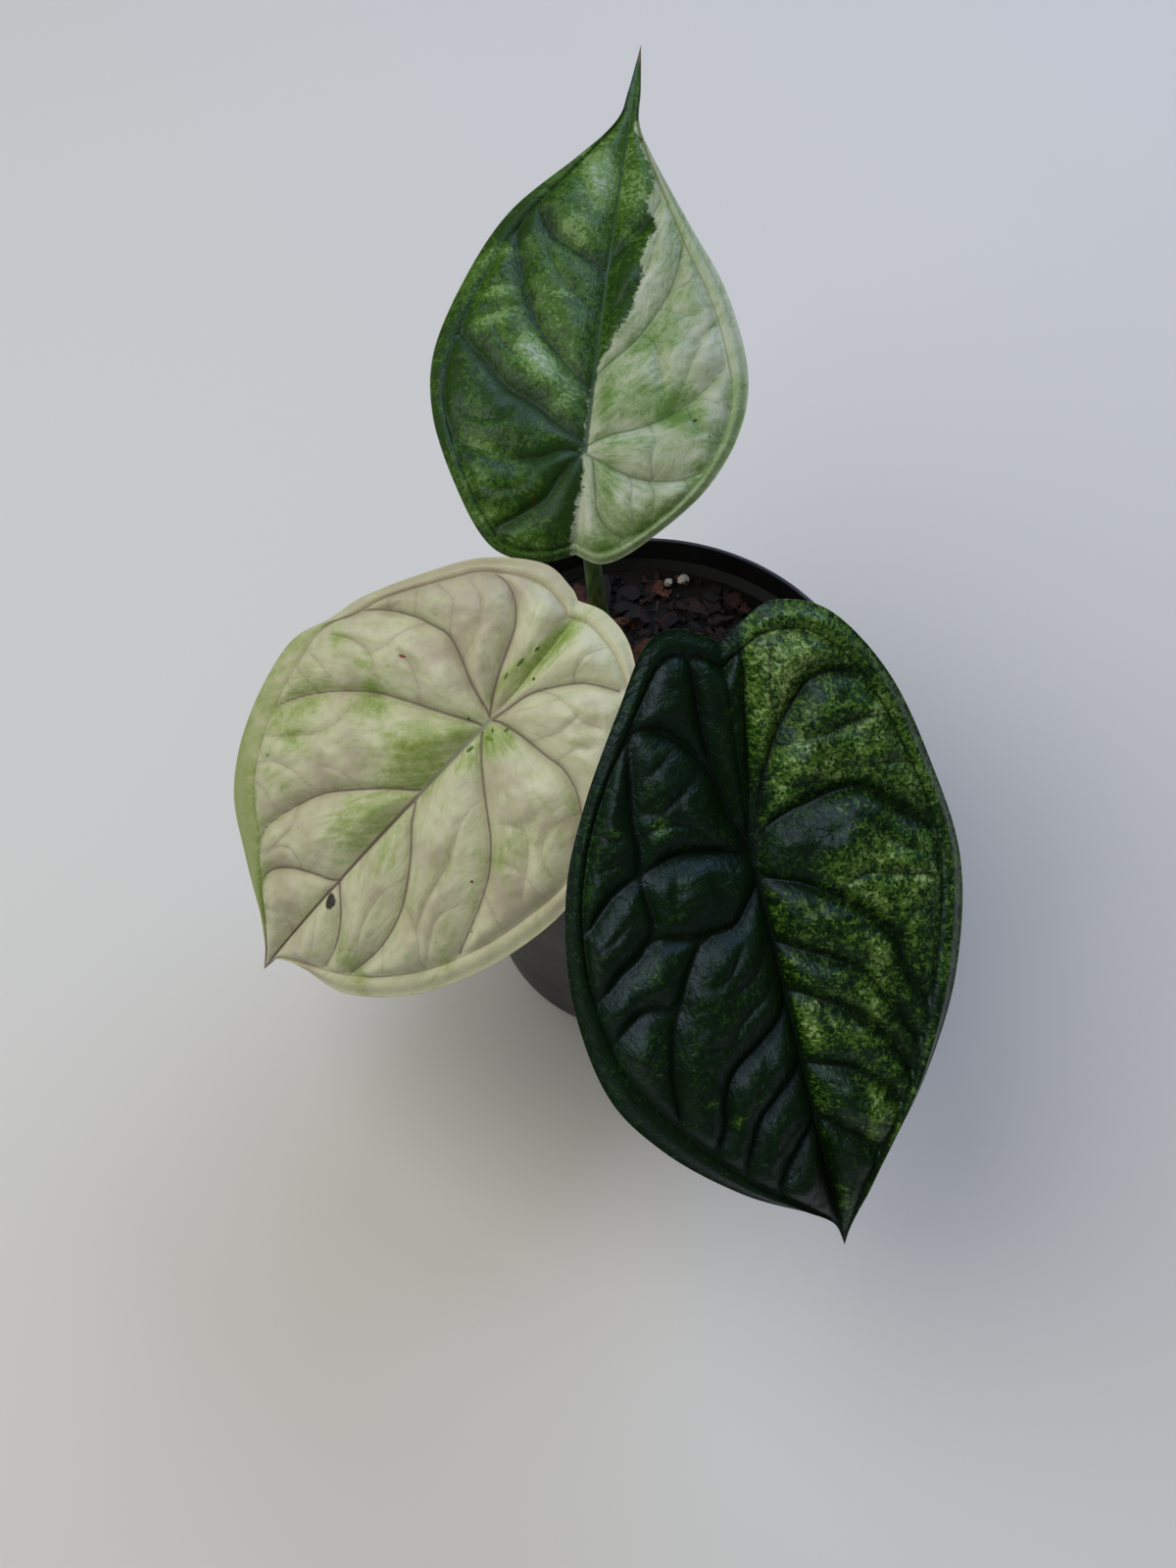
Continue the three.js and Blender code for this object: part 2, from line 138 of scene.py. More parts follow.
# A vein row is (where it leaves the midrib, lead angle, reach, right margin, left margin, sunk).
# Mains, branches and the seam are the lines of the veins on the flat blade, in mm. Most were picked
# by eye along the real leaf's veins and laid flat by a scratch program that undid the bend.
# A patch is (p, q, half length along p, half length along q, turn in degrees, amount).
leaves = {
    "left": {
        "slot": "leaf_cream",
        "attachment": (-32, -27.7, 133), "heading": 210, "droop": 42, "roll": 16,
        "tipBend": 27, "baseBend": 23, "fold": 8, "curl": -20, "tipSway": 3.4, "baseSway": 3.5,
        "petioleAngle": 215, "petioleRise": (-2, -3, 24), "petioleArrival": 26,
        "right": [(6, 82.5), (11, 76), (21, 67.5), (32, 58.5), (39.5, 44), (43.2, 25), (39.5, 13),
                  (37, 4), (30.5, -9.5), (24, -20.5), (15, -28.5), (8, -29.5)],
        "left": [(1.8, 82.5), (-5, 76.5), (-15, 71), (-25, 58.5), (-31.5, 45), (-36, 28.5),
                 (-37, 12), (-32.5, -5.5), (-22, -21.5), (-10, -30), (-1, -31.3)],
        "notch": (5, -28.8),
        "rows": [(90, 45, .5, 0, 0, 1), (74, 45, .5, .08, .07, .6), (52, 58, .5, .145, .13, .8),
                 (36, 50, .5, .175, .15, .3), (21, 43, .5, .205, .175, 1), (11, 50, .5, .31, .27, .3),
                 (2.5, 60, .5, .42, .36, 1), (0, 85, .5, .49, .48, .3), (0, 112, .62, .56, .61, 1),
                 (0, 135, .7, .69, .73, .35), (0, 157, .8, .82, .84, .9), (0, 168, .5, .94, .93, .6),
                 (0, 180, .5, 1, 1, 1)],
        "mains": [
            [(1.1, 51.5), (2.8, 53.1), (6.4, 55.3), (10.7, 58.7), (13.9, 63.2), (14.8, 68)],
            [(.3, 21), (1.6, 22.6), (6.2, 27.2), (10, 31.8), (15, 38.6), (17.8, 45.4), (19.8, 52),
             (20.7, 57), (20.4, 61.5)],
            [(0, 1.8), (1.8, 2.6), (5.8, 5), (10.7, 7.9), (15.7, 10.9), (20.6, 14.3), (25.7, 19.3),
             (30.4, 25.2), (34, 31.2), (36, 36)],
            [(.3, -.2), (1.8, -1), (7.3, -2.5), (12.3, -4.4), (17.4, -5.6), (21.5, -4.3), (25.3, -2.7),
             (30.3, .8), (34.6, 5.3), (36.8, 9)],
            [(.3, -.3), (1.2, -1.4), (5, -8), (7.8, -13.9), (10.1, -17.4), (13.3, -19.9), (16.9, -20.9),
             (20.5, -20.2)],
            [(1.1, 52), (-2.6, 55), (-5.4, 58.8), (-7.4, 63.3), (-8.4, 70)],
            [(.2, 23.8), (-2.9, 28), (-7, 32.5), (-11.1, 38.4), (-13.9, 44.8), (-15.2, 53.3), (-14.2, 62),
             (-13.4, 66)],
            [(0, 2.3), (-1.5, 4), (-4.6, 6.7), (-9.9, 10.7), (-14.7, 14.1), (-17.9, 16.8), (-21.7, 21.5),
             (-24.8, 28.5), (-27.1, 35.5), (-28.2, 39.5)],
            [(-.3, -.3), (-2, -1.5), (-6.9, -3.3), (-13.5, -4.6), (-17.7, -5.5), (-22.4, -4.6),
             (-26.5, -2), (-30, 1.5), (-33, 6)],
            [(-.3, -.5), (-1.2, -5), (-2.2, -9.7), (-4.6, -14.3), (-8.4, -19.5), (-14.2, -23.4)],
        ],
        "branches": [
            [(16.2, 39.2), (18.9, 39.2), (22.5, 39.5), (26.8, 41.6), (29.8, 45.3), (31.8, 49.8)],
            [(20.8, 50), (24.8, 48.9), (28.1, 50.2), (30.1, 52.6)],
            [(2, 73.2), (3.6, 69.6), (5.5, 68.5), (8.7, 69.4), (10.6, 72.4)],
            [(19.1, 13.3), (22.3, 10.8), (25.7, 9), (30.7, 9.7), (35.8, 13.1)],
            [(26, 19.6), (30.7, 19.2), (34.1, 19.4), (37.5, 20.2)],
            [(32.6, 28.8), (35.3, 28.5), (38.2, 29.5)],
            [(17.4, -5.7), (18.4, -8.3), (20.5, -10.8), (22.6, -11.6), (26.7, -10.4)],
            [(25.4, -2.8), (26.8, -5.6), (28.7, -6.6)],
            [(9.6, 31.4), (12.5, 30.4), (16, 31.5), (18.2, 33.2)],
            [(8.7, 57), (9.5, 54.3), (12, 53), (15, 55.3), (16.4, 60)],
            [(12.4, 9.1), (14.2, 5.6), (17.4, 3.8), (21.5, 3)], [(30.2, 25), (33.5, 24.3), (38.3, 25.2)],
            [(22.5, -3.8), (24.5, .4), (24.8, 4.5), (26.4, 8.6)],
            [(12, -4.2), (12.6, -8.6), (14.8, -13), (18, -15.6), (22, -16.2)],
            [(30.3, .8), (32.4, -2), (33.6, -2.6)],
            [(20, 13.9), (22, 18.5), (22.3, 25), (24.8, 31), (29.4, 36.6), (33.5, 41)],
            [(17.8, 45.4), (15.6, 50), (16.2, 56.8), (18, 62)],
            [(-7, -17.9), (-5.6, -19.7), (-5.2, -23.9), (-6.5, -28.1)],
            [(-3, -11.6), (-6.5, -14), (-10.4, -14.9), (-14.3, -14.9), (-17.5, -16.6)],
            [(-16, -5.3), (-16.2, -7.6), (-17.3, -10.8), (-19, -12.7)],
            [(-9.3, -3.9), (-10.6, -6.9), (-12.4, -10.2), (-12.9, -14.8)],
            [(-14.7, 14), (-17.2, 10.3), (-20.7, 8.2), (-23.7, 9.6), (-26.6, 13.3), (-30, 18.5)],
            [(-19.9, 19), (-23, 15.9), (-27.2, 14.4), (-32.5, 15.4)],
            [(-23.6, 25.4), (-26.7, 25.2), (-29.7, 26.3), (-32.7, 27.6)],
            [(-25.9, -2.2), (-24.7, 1.8), (-25, 5.7), (-27.4, 9), (-31.5, 10.5)],
            [(-12.2, 40.8), (-16.1, 40.7), (-20.2, 42.3), (-23, 45.1), (-25.3, 48.4)],
            [(-24.1, 26.8), (-21.4, 31), (-20.6, 35.3), (-22.1, 39.6), (-24.6, 45)],
            [(-15.2, 52.4), (-18.2, 54.1), (-19.8, 57.5)], [(-14.9, 56), (-11.4, 58), (-9, 61.6)],
            [(-.8, 61.7), (-3.7, 66.1), (-5, 71)], [(-9.8, 36.4), (-8.4, 42), (-9.4, 49), (-12, 56)],
            [(-9.9, 10.7), (-10.9, 17), (-14.2, 24.5), (-16.4, 33), (-18.6, 41.4)],
            [(-28.2, -.2), (-29.8, -4.2), (-29, -8)],
        ],
        "seam": [], "marginGroove": {"right": 1, "left": 1},
        "bulge": 4.1, "crease": 3.4, "branchDepth": 0.34, "branchCrease": 2.0, "marginRoll": 0.75,
    },
    "back": {
        "slot": "leaf_half_cream",
        "attachment": (-13.5, 16.7, 160), "heading": 84, "droop": -8, "roll": 0,
        "tipBend": 0, "baseBend": 56, "fold": 12, "curl": -25, "tipSway": 1.2, "baseSway": 0,
        "petioleAngle": 95, "petioleRise": (-7, 0, 36), "petioleArrival": 34,
        "right": [(2.6, 88), (3.2, 79), (7, 70), (16, 53.5), (24.5, 38.5), (30.2, 21), (29.8, 7),
                  (24.5, -6), (14, -16.5), (6, -21.5)],
        "left": [(-.1, 87), (-1.8, 79), (-9, 68.5), (-21, 53.5), (-28, 37.5), (-32.3, 19.5),
                 (-30.5, 4.5), (-24.5, -9), (-16.5, -19.8), (-7, -22.2)],
        "notch": (0, -20.4),
        "rows": [(100, 45, .5, 0, 0, 1), (80, 45, .5, .14, .13, .5), (66, 45, .5, .2, .19, .7),
                 (45, 48, .5, .27, .26, .8), (30, 48, .5, .32, .31, .3), (17, 48, .5, .36, .36, 1),
                 (8, 55, .5, .46, .44, .3), (1.5, 66, .5, .55, .53, 1), (0, 100, .55, .69, .66, .9),
                 (0, 130, .6, .78, .77, .35), (0, 160, .7, .88, .87, .8), (0, 180, .5, 1, 1, 1)],
        "mains": [
            [(0, 16.8), (2.6, 20.2), (5.1, 22.7), (7.9, 26), (9.8, 29.4), (11.7, 33.1), (13.5, 38),
             (14.4, 42.8), (14.8, 47.7), (14.4, 52)],
            [(0, 1.5), (3.9, 3.5), (9.4, 5.1), (13.6, 7.1), (17.3, 9.8), (20.1, 12.6), (22.9, 16),
             (25.6, 20.9)],
            [(.3, -.3), (4.5, -2.6), (7.8, -4.3), (11.8, -5.4), (15.7, -5.5), (19.5, -4.9), (22.8, -3.3),
             (25.5, -1.5)],
            [(.3, -.3), (1.7, -1.6), (2.8, -7.5), (3.7, -11.8), (5.7, -14.6), (8, -16), (11.2, -17)],
            [(.4, 44.5), (3.2, 47.9), (5.7, 51.2), (7.8, 54.8), (9.4, 59.5)],
            [(0, 14), (-3.3, 16.4), (-6.3, 19.4), (-10.3, 23.9), (-12.5, 27.2), (-14.9, 32.6),
             (-16.1, 35.7), (-17.1, 39.8), (-18.7, 46.1), (-18.6, 50.5)],
            [(0, 1.5), (-2, 2.9), (-6.5, 5.6), (-10.4, 8.5), (-16, 11.3), (-18.9, 14.1), (-21.5, 17.4),
             (-24.1, 19.8), (-27.5, 23.5)],
            [(-.3, -.2), (-2, -.1), (-5, -.6), (-8.2, -2.5), (-12.9, -3.6), (-16.9, -3.1), (-20.9, -2.1),
             (-24.5, -1), (-27.5, 2)],
            [(-.3, -.3), (-1.8, -1.9), (-4.4, -6), (-6.6, -10.2), (-9.4, -12.5), (-12.2, -14.4),
             (-15.1, -16)],
            [(-.2, 41), (-1, 42.3), (-4.5, 44.5), (-7.8, 46), (-11.2, 48.1), (-14, 52.5)],
        ],
        "branches": [
            [(11.9, 32.9), (15.4, 31), (18.9, 31.2), (21.4, 33.9), (23, 36.1)],
            [(19.2, 23.7), (21.5, 27.6), (23.5, 30.4), (24.4, 32.4)],
            [(20.1, 12.6), (22.8, 12.2), (25.5, 11.2), (28.1, 11.6)],
            [(18.9, 11), (19.9, 7.6), (22.1, 4.5), (26, 4.5), (27.7, 5.8)],
            [(9.1, -4.9), (10, -7.2), (10.1, -10.6), (11.6, -14.6)],
            [(13.1, -5.7), (14.5, -8.6), (14.3, -12), (13.1, -15.2)],
            [(19.9, -4.8), (21.2, -7.3), (21, -9.4)],
            [(16.1, 8.6), (17.8, 14.5), (19, 19.5), (20.6, 24.8)], [(13.2, 37), (16.6, 38.4), (18.8, 42)],
            [(8.6, 26.8), (11.5, 24), (12.8, 19), (14, 13)], [(14.7, 45.4), (16.6, 46.6), (17.4, 49.4)],
            [(.8, 66), (2.4, 68), (4.6, 70)], [(12, 6.2), (13.6, 1.8), (13.2, -2), (13.8, -5.3)],
            [(.3, 30), (3.4, 33.2), (6.6, 37.6), (8.6, 43), (9.7, 50)],
            [(-16.1, 35.1), (-18.8, 35.1), (-21.8, 34.6), (-25, 34.4)],
            [(-17.6, 40.8), (-20.5, 42.2), (-23.4, 44.1)],
            [(.6, 54.5), (-1.5, 56), (-3.9, 57.1), (-6, 59.5), (-8.6, 62.3)],
            [(-13.7, 10), (-15.6, 5.6), (-18.4, 3.6), (-22.5, 4), (-26.5, 6.5)],
            [(-9.6, -3), (-10, -7), (-13, -9.4), (-17.5, -9.8), (-21, -8.4)],
            [(-15.1, -16), (-17.8, -14.8), (-19.7, -12.6), (-22.1, -10.7)],
            [(-14.1, 30.5), (-18, 29.8), (-22, 28), (-27, 27.6)],
            [(-8.6, 21.8), (-11.4, 19.4), (-15, 18.6), (-18.2, 20.6), (-21, 25.2)],
            [(-22.4, 18.3), (-25.4, 16.6), (-29.2, 16.8)],
            [(-.3, 30), (-4, 33), (-8, 37), (-11.4, 42), (-13.6, 48)],
            [(-20.9, -2.1), (-23, -5), (-25, -5.6)], [(.7, 68), (-1.4, 69.8), (-3.4, 72.4)],
        ],
        "seam": [], "marginGroove": {"right": 0.6, "left": 0.5},
        "bulge": 3.0, "crease": 3.0, "branchDepth": 0.45, "branchCrease": 1.8, "marginRoll": 0.7,
    },
    "right": {
        "slot": "leaf_dark_green",
        "attachment": (17.7, -60.1, 138), "heading": 286, "droop": 35, "roll": 0,
        "tipBend": 27, "baseBend": -10, "fold": 25, "curl": -42, "tipSway": -4.2, "baseSway": -1,
        "petioleAngle": 335, "petioleRise": (0, -8, 26), "petioleArrival": 34,
        "right": [(-1.8, 77), (4, 71.2), (17, 61.5), (30, 49), (38, 36), (40.3, 17), (37, -2),
                  (30, -18), (20.5, -34), (13.5, -44.5), (7, -45.8)],
        "left": [(-5.8, 77), (-12, 65), (-24, 47), (-33.5, 29), (-38.8, 9), (-36.5, -11),
                 (-31.5, -28.5), (-22.5, -42.8), (-13, -47), (-6.5, -44)],
        "notch": (-1.8, -40.4),
        "rows": [(83.3, 45, .5, 0, 0, 1), (68, 45, .5, .09, .09, .6), (53, 55, .5, .15, .18, .9),
                 (42, 58, .5, .195, .26, .9), (28, 52, .5, .24, .32, 1), (15, 52, .5, .28, .38, .7),
                 (4, 54, .5, .32, .44, 1), (1.5, 80, .5, .42, .48, .3), (0, 115, .6, .51, .52, 1),
                 (0, 145, .8, .6, .59, .3), (0, 163, 1, .7, .67, 1), (0, 168, .8, .82, .8, .35),
                 (0, 173, .5, .93, .92, .8), (0, 180, .5, 1, 1, 1)],
        "mains": [
            [(.2, -.2), (3.8, -1.2), (8.4, -2.9), (13.5, -3.9), (16.8, -3.9), (21.1, -2.8), (25, -1.6),
             (29.5, .9), (34.4, 5.5)],
            [(.3, -.3), (3, -8), (4.7, -15.8), (6.5, -19.2), (9.3, -23.3), (12.1, -26.6), (15.6, -28.5),
             (19.6, -28.8), (24, -26.5)],
            [(3.2, -8.5), (4.6, -15.5), (5.4, -22.3), (5.7, -28.5), (5.5, -34), (5.8, -41)],
            [(19.7, -28.7), (20.5, -24.4), (21.3, -18.4), (22.2, -12.4), (22, -7.4), (23, -2.4),
             (22.9, 3), (22.7, 6.6), (23.7, 10)],
            [(0, 4.6), (4.1, 8.6), (7.6, 11.6), (14, 12.2), (18.2, 17.4), (20.9, 22.4), (23.3, 27.1),
             (24.7, 33.5), (25.2, 38), (25.2, 43.5)],
            [(14, 12.2), (19.4, 10.8), (23.7, 10), (26.9, 12.7), (30.5, 14.7), (32.6, 16.6), (36, 18.8)],
            [(21.3, 23.4), (26.5, 22.3), (29.8, 23.3), (34.9, 27)],
            [(-.2, 27.2), (2.2, 31), (7.5, 34.3), (12.2, 36.6), (14.8, 39.1), (16.4, 43), (17.5, 48),
             (20.8, 53)],
            [(-.7, 40.5), (3.4, 43.7), (8, 46.4), (10.7, 48.9), (12.3, 52), (15, 57.5)],
            [(-1.3, 53), (1.5, 55.2), (4.4, 57.7), (7.2, 60.8), (9.6, 64.5)],
            [(-.2, 4.4), (-7.3, 6.7), (-12.9, 10.4), (-17.7, 14.1), (-20.7, 17.6), (-22.9, 21),
             (-23.3, 25.2), (-24.6, 30), (-27.4, 34.5)],
            [(-.4, 16.4), (-2.2, 17.7), (-5.9, 19.6), (-10.9, 22.2), (-14.6, 24.6), (-17.5, 28.6),
             (-20.4, 34), (-23.4, 40)],
            [(-.6, 26.2), (-2.5, 27), (-6.3, 28.8), (-10.5, 31.4), (-13.7, 34), (-16.9, 37.1),
             (-19.2, 41.5), (-20.8, 46)],
            [(-.9, 40.5), (-2.9, 41.3), (-7.1, 42.4), (-10.1, 43.6), (-14.2, 46.9), (-17.6, 51.6)],
            [(-1.5, 52.7), (-3.8, 53.7), (-6.3, 55.9), (-9.7, 58.4), (-12.4, 61)],
            [(-.4, -.6), (-2.9, -4.2), (-7.9, -6.7), (-12.6, -7.8), (-15.9, -8.7), (-20.8, -8.8),
             (-24.5, -6.6), (-28, -3.2), (-31.6, .3), (-34.4, 3)],
            [(-1.2, -4), (-3.6, -10.5), (-5.8, -15.8), (-7.9, -20.4), (-11.2, -25.2), (-14.4, -29),
             (-16.8, -31), (-20.9, -31.6), (-25.6, -30)],
        ],
        "branches": [
            [(23.5, 27.6), (27.4, 30.2), (31, 33.6)], [(25.1, 35.6), (28.3, 37.1), (30.5, 38.6)],
            [(25, 36.1), (22.6, 37.6), (20.6, 41), (21, 47)],
            [(-.2, 20), (2, 22.6), (4.8, 25.6), (9.1, 27.6), (13.6, 31.6)],
            [(-.1, 14.6), (2.7, 17.7), (5.9, 21), (9.4, 22.8)],
            [(9, 35), (14.2, 32.4), (18.6, 31.6), (23.8, 29)],
            [(19.6, 19.6), (15.4, 20.6), (11.4, 20), (7.6, 15.4)],
            [(-.9, 49.3), (.8, 50.2), (4.1, 52), (8, 54.6)],
            [(10.9, 49.4), (9.8, 52.6), (10.8, 56.6), (12.4, 60.4)],
            [(7.2, 34), (7.6, 38), (10.2, 41.6), (12.6, 46.4)],
            [(6, -30.4), (8.6, -34.6), (11.7, -37.7), (14.1, -40.2)],
            [(12.2, -26.8), (13.4, -23.6), (16.4, -21.4), (21.2, -18.8)],
            [(6.6, -19.4), (9.4, -17.6), (13.6, -15.2), (17, -13.2), (21.8, -14)],
            [(7.4, -2.5), (10, -7), (13.4, -9.8), (18, -10.4), (22, -9.4)],
            [(22.6, -29), (24.4, -24.5), (26.4, -21)], [(21.4, -17.3), (25, -18), (28.6, -17.6)],
            [(22.2, -11.4), (25.6, -10.2), (28.8, -11.8), (31.6, -12.7)],
            [(22.4, -6.4), (27, -5.4), (33.4, -4.6)], [(22.9, 3.4), (27, 5.6), (31.6, 8.4), (36.5, 10.4)],
            [(16.8, -3.9), (17.4, .6), (18.6, 5.4), (19.6, 10.6)],
            [(29.8, 23.3), (29.6, 18.6), (30.4, 14.8)], [(10.4, -3.3), (10, 1.6), (8.6, 6.6), (7, 10.8)],
            [(24.2, 31.4), (20.2, 33.8), (16, 41.2)],
            [(-22, 20.4), (-23.3, 18.7), (-26.8, 16.3), (-30.4, 15.9), (-34.6, 17)],
            [(-23.2, 25.6), (-27, 24.2), (-29.4, 24.8), (-32.5, 27.6)],
            [(-2.6, -8), (-4.6, -14), (-6.8, -19), (-11.1, -20.6), (-15, -20.2), (-19.5, -20.9),
             (-25.4, -21.9), (-29.4, -21)],
            [(-15, -20.2), (-17, -15.6), (-21.4, -13), (-26.6, -12.4), (-31.4, -11.4)],
            [(-12.7, 10.2), (-16.4, 8), (-20.4, 7.4), (-25.4, 9), (-31.6, 10.4)],
            [(-18, 14.4), (-16.2, 19), (-17.6, 24), (-20.4, 28)],
            [(-12, 32.7), (-11.6, 37), (-13.2, 41.6), (-15.4, 46.4)],
            [(-5.4, -15), (-9.6, -11.6), (-14.8, -11.6), (-19.6, -9.2)],
            [(-9.4, -22.6), (-8.6, -28), (-9, -34), (-10.6, -40)],
            [(-20.4, -8.8), (-21.6, -3.6), (-24.6, 2), (-30, 5.6)],
            [(-8.4, 6.9), (-9, 11.4), (-11, 17), (-14, 23.6)],
            [(-6.6, 29), (-6.4, 33.6), (-8.4, 38), (-10.6, 43.4)], [(-20, 33), (-24, 33.6), (-27.6, 37)],
        ],
        "seam": [[(0, 1), (-0.9, -7), (-2.4, -14), (-4, -26), (-5.2, -34), (-5.4, -42)]],
        "marginGroove": {"right": 1, "left": 0.35},
        "bulge": 4.5, "crease": 3.5, "branchDepth": 0.44, "branchCrease": 2.3, "marginRoll": 1.0,
    },
}


def smoothStep(value, start, end):
    t = np.clip((value - start) / (end - start), 0, 1)
    return t * t * (3 - 2 * t)


def splineThrough(points, stepsEach=80):
    knots = np.array(points, float)
    last = len(knots) - 1
    along = np.linspace(0, last, last * stepsEach + 1)
    first = np.minimum(along.astype(int), last - 1)
    share = (along - first)[:, None]
    here, there = knots[first], knots[first + 1]
    before, after = knots[np.maximum(first - 1, 0)], knots[np.minimum(first + 2, last)]
    slopeHere, slopeThere = (there - before) / 2, (after - here) / 2
    curve = (2 * here - 2 * there + slopeHere + slopeThere) * share ** 3
    curve += (-3 * here + 3 * there - 2 * slopeHere - slopeThere) * share ** 2
    curve += slopeHere * share + here
    reached = np.concatenate([[0], np.cumsum(np.linalg.norm(np.diff(curve, axis=0), axis=1))])
    return curve, reached / reached[-1]


def midribSway(leaf, q):
    ahead = leaf["tipSway"] * (q / bladeForm["forwardSpan"]) ** 2
    behind = leaf["baseSway"] * (q / bladeForm["backwardSpan"]) ** 2
    return np.where(q >= 0, ahead, behind)


def midribAngle(leaf, q):
    ahead = leaf["tipBend"] * (np.maximum(q, 0) / bladeForm["forwardSpan"]) ** 1.5
    return np.radians(np.where(q >= 0, ahead, leaf["baseBend"] * q / bladeForm["backwardSpan"]))


def bladeFrame(leaf):
    heading, droop, roll = (math.radians(leaf[key]) for key in ("heading", "droop", "roll"))
    level = math.cos(droop)
    ahead = Vector((math.cos(heading) * level, math.sin(heading) * level, -math.sin(droop)))
    across = ahead.cross(Vector((0, 0, 1))).normalized()
    across.rotate(Matrix.Rotation(-roll, 3, ahead))
    return np.array(ahead), np.array(across), np.array(across.cross(ahead))


def bentSheet(leaf, flat, height):
    ahead, across, up = bladeFrame(leaf)
    p, q = flat[..., 0], flat[..., 1]
    sway = midribSway(leaf, q)
    side, reach = np.sign(p - sway), np.abs(p - sway)
    forward, rise, sideways, lift = 0 * q, 0 * q, 0 * q, height + 0 * q
    samples = bladeForm["bendSamples"]
    for sample in range(samples):
        share = (sample + 0.5) / samples
        pitch = midribAngle(leaf, q * share)
        forward = forward + np.cos(pitch) * q / samples
        rise = rise - np.sin(pitch) * q / samples
        tilt = np.radians(leaf["fold"] + leaf["curl"] * reach * share / bladeForm["sideSpan"])
        sideways = sideways + np.cos(tilt) * reach / samples
        lift = lift + np.sin(tilt) * reach / samples
    pitch = midribAngle(leaf, q)
    return (np.array(leaf["attachment"]) + (sway + side * sideways)[..., None] * across
            + (forward + lift * np.sin(pitch))[..., None] * ahead
            + (rise + lift * np.cos(pitch))[..., None] * up)


def drawnHalf(leaf, half, rows, rings):
    # the flat lines of one half, swept from the tip round to the notch: places (row, ring, 2)
    sign = 1 if half == "right" else -1
    keys = np.array(leaf["rows"], float)
    first = np.minimum(rows.astype(int), len(keys) - 2)
    mixed = keys[first] + (keys[first + 1] - keys[first]) * (rows - first)[:, None]
    start = np.stack([midribSway(leaf, mixed[:, 0]), mixed[:, 0]], axis=1)
    tip = (float(midribSway(leaf, keys[0, 0])), keys[0, 0])
    outline, reached = splineThrough([tip, *leaf[half], leaf["notch"]])
    meets = mixed[:, 3] if half == "right" else mixed[:, 4]
    end = np.stack([np.interp(meets, reached, outline[:, axis]) for axis in (0, 1)], axis=1)
    lead = np.radians(mixed[:, 1])
    handle = np.linalg.norm(end - start, axis=1) * mixed[:, 2]
    control = start + np.stack([sign * np.sin(lead), np.cos(lead)], axis=1) * handle[:, None]
    t = rings[None, :, None]
    return (1 - t) ** 2 * start[:, None] + 2 * t * (1 - t) * control[:, None] + t * t * end[:, None]


def bladeLines(leaf, below):
    lastRow = len(leaf["rows"]) - 1
    rows = np.linspace(0, lastRow, lastRow * bladeForm["linesPerRow"] + 1)
    line = bladeForm["marginLine"]
    inside = np.linspace(0, line, bladeForm["ringsInside"])
    edgeStart, edgeSpan = bladeForm["edgeStart"], bladeForm["edgeSpan"]
    beyond = np.linspace(line, edgeStart, bladeForm["ringsInMargin"])[1:]
    if below:
        inside, beyond = np.linspace(0, edgeStart, bladeForm["ringsBelow"]), []
    edge = edgeStart + edgeSpan * np.sin(np.radians([25, 45, 65, 90]))  # closer together round the edge
    return rows, np.concatenate([inside, beyond, edge])


def veinGaps(lines, flat):
    # how far each flat place is from each drawn line, in mm
    for points in lines:
        line = splineThrough(points, 3)[0]
        nearest = np.full(flat.shape[:-1], 99.0)
        for start, stop in zip(line[:-1], line[1:]):
            along = stop - start
            share = np.clip(((flat - start) @ along) / (along @ along), 0, 1)
            gap = flat - start - share[..., None] * along
            nearest = np.minimum(nearest, np.hypot(gap[..., 0], gap[..., 1]))
        yield nearest


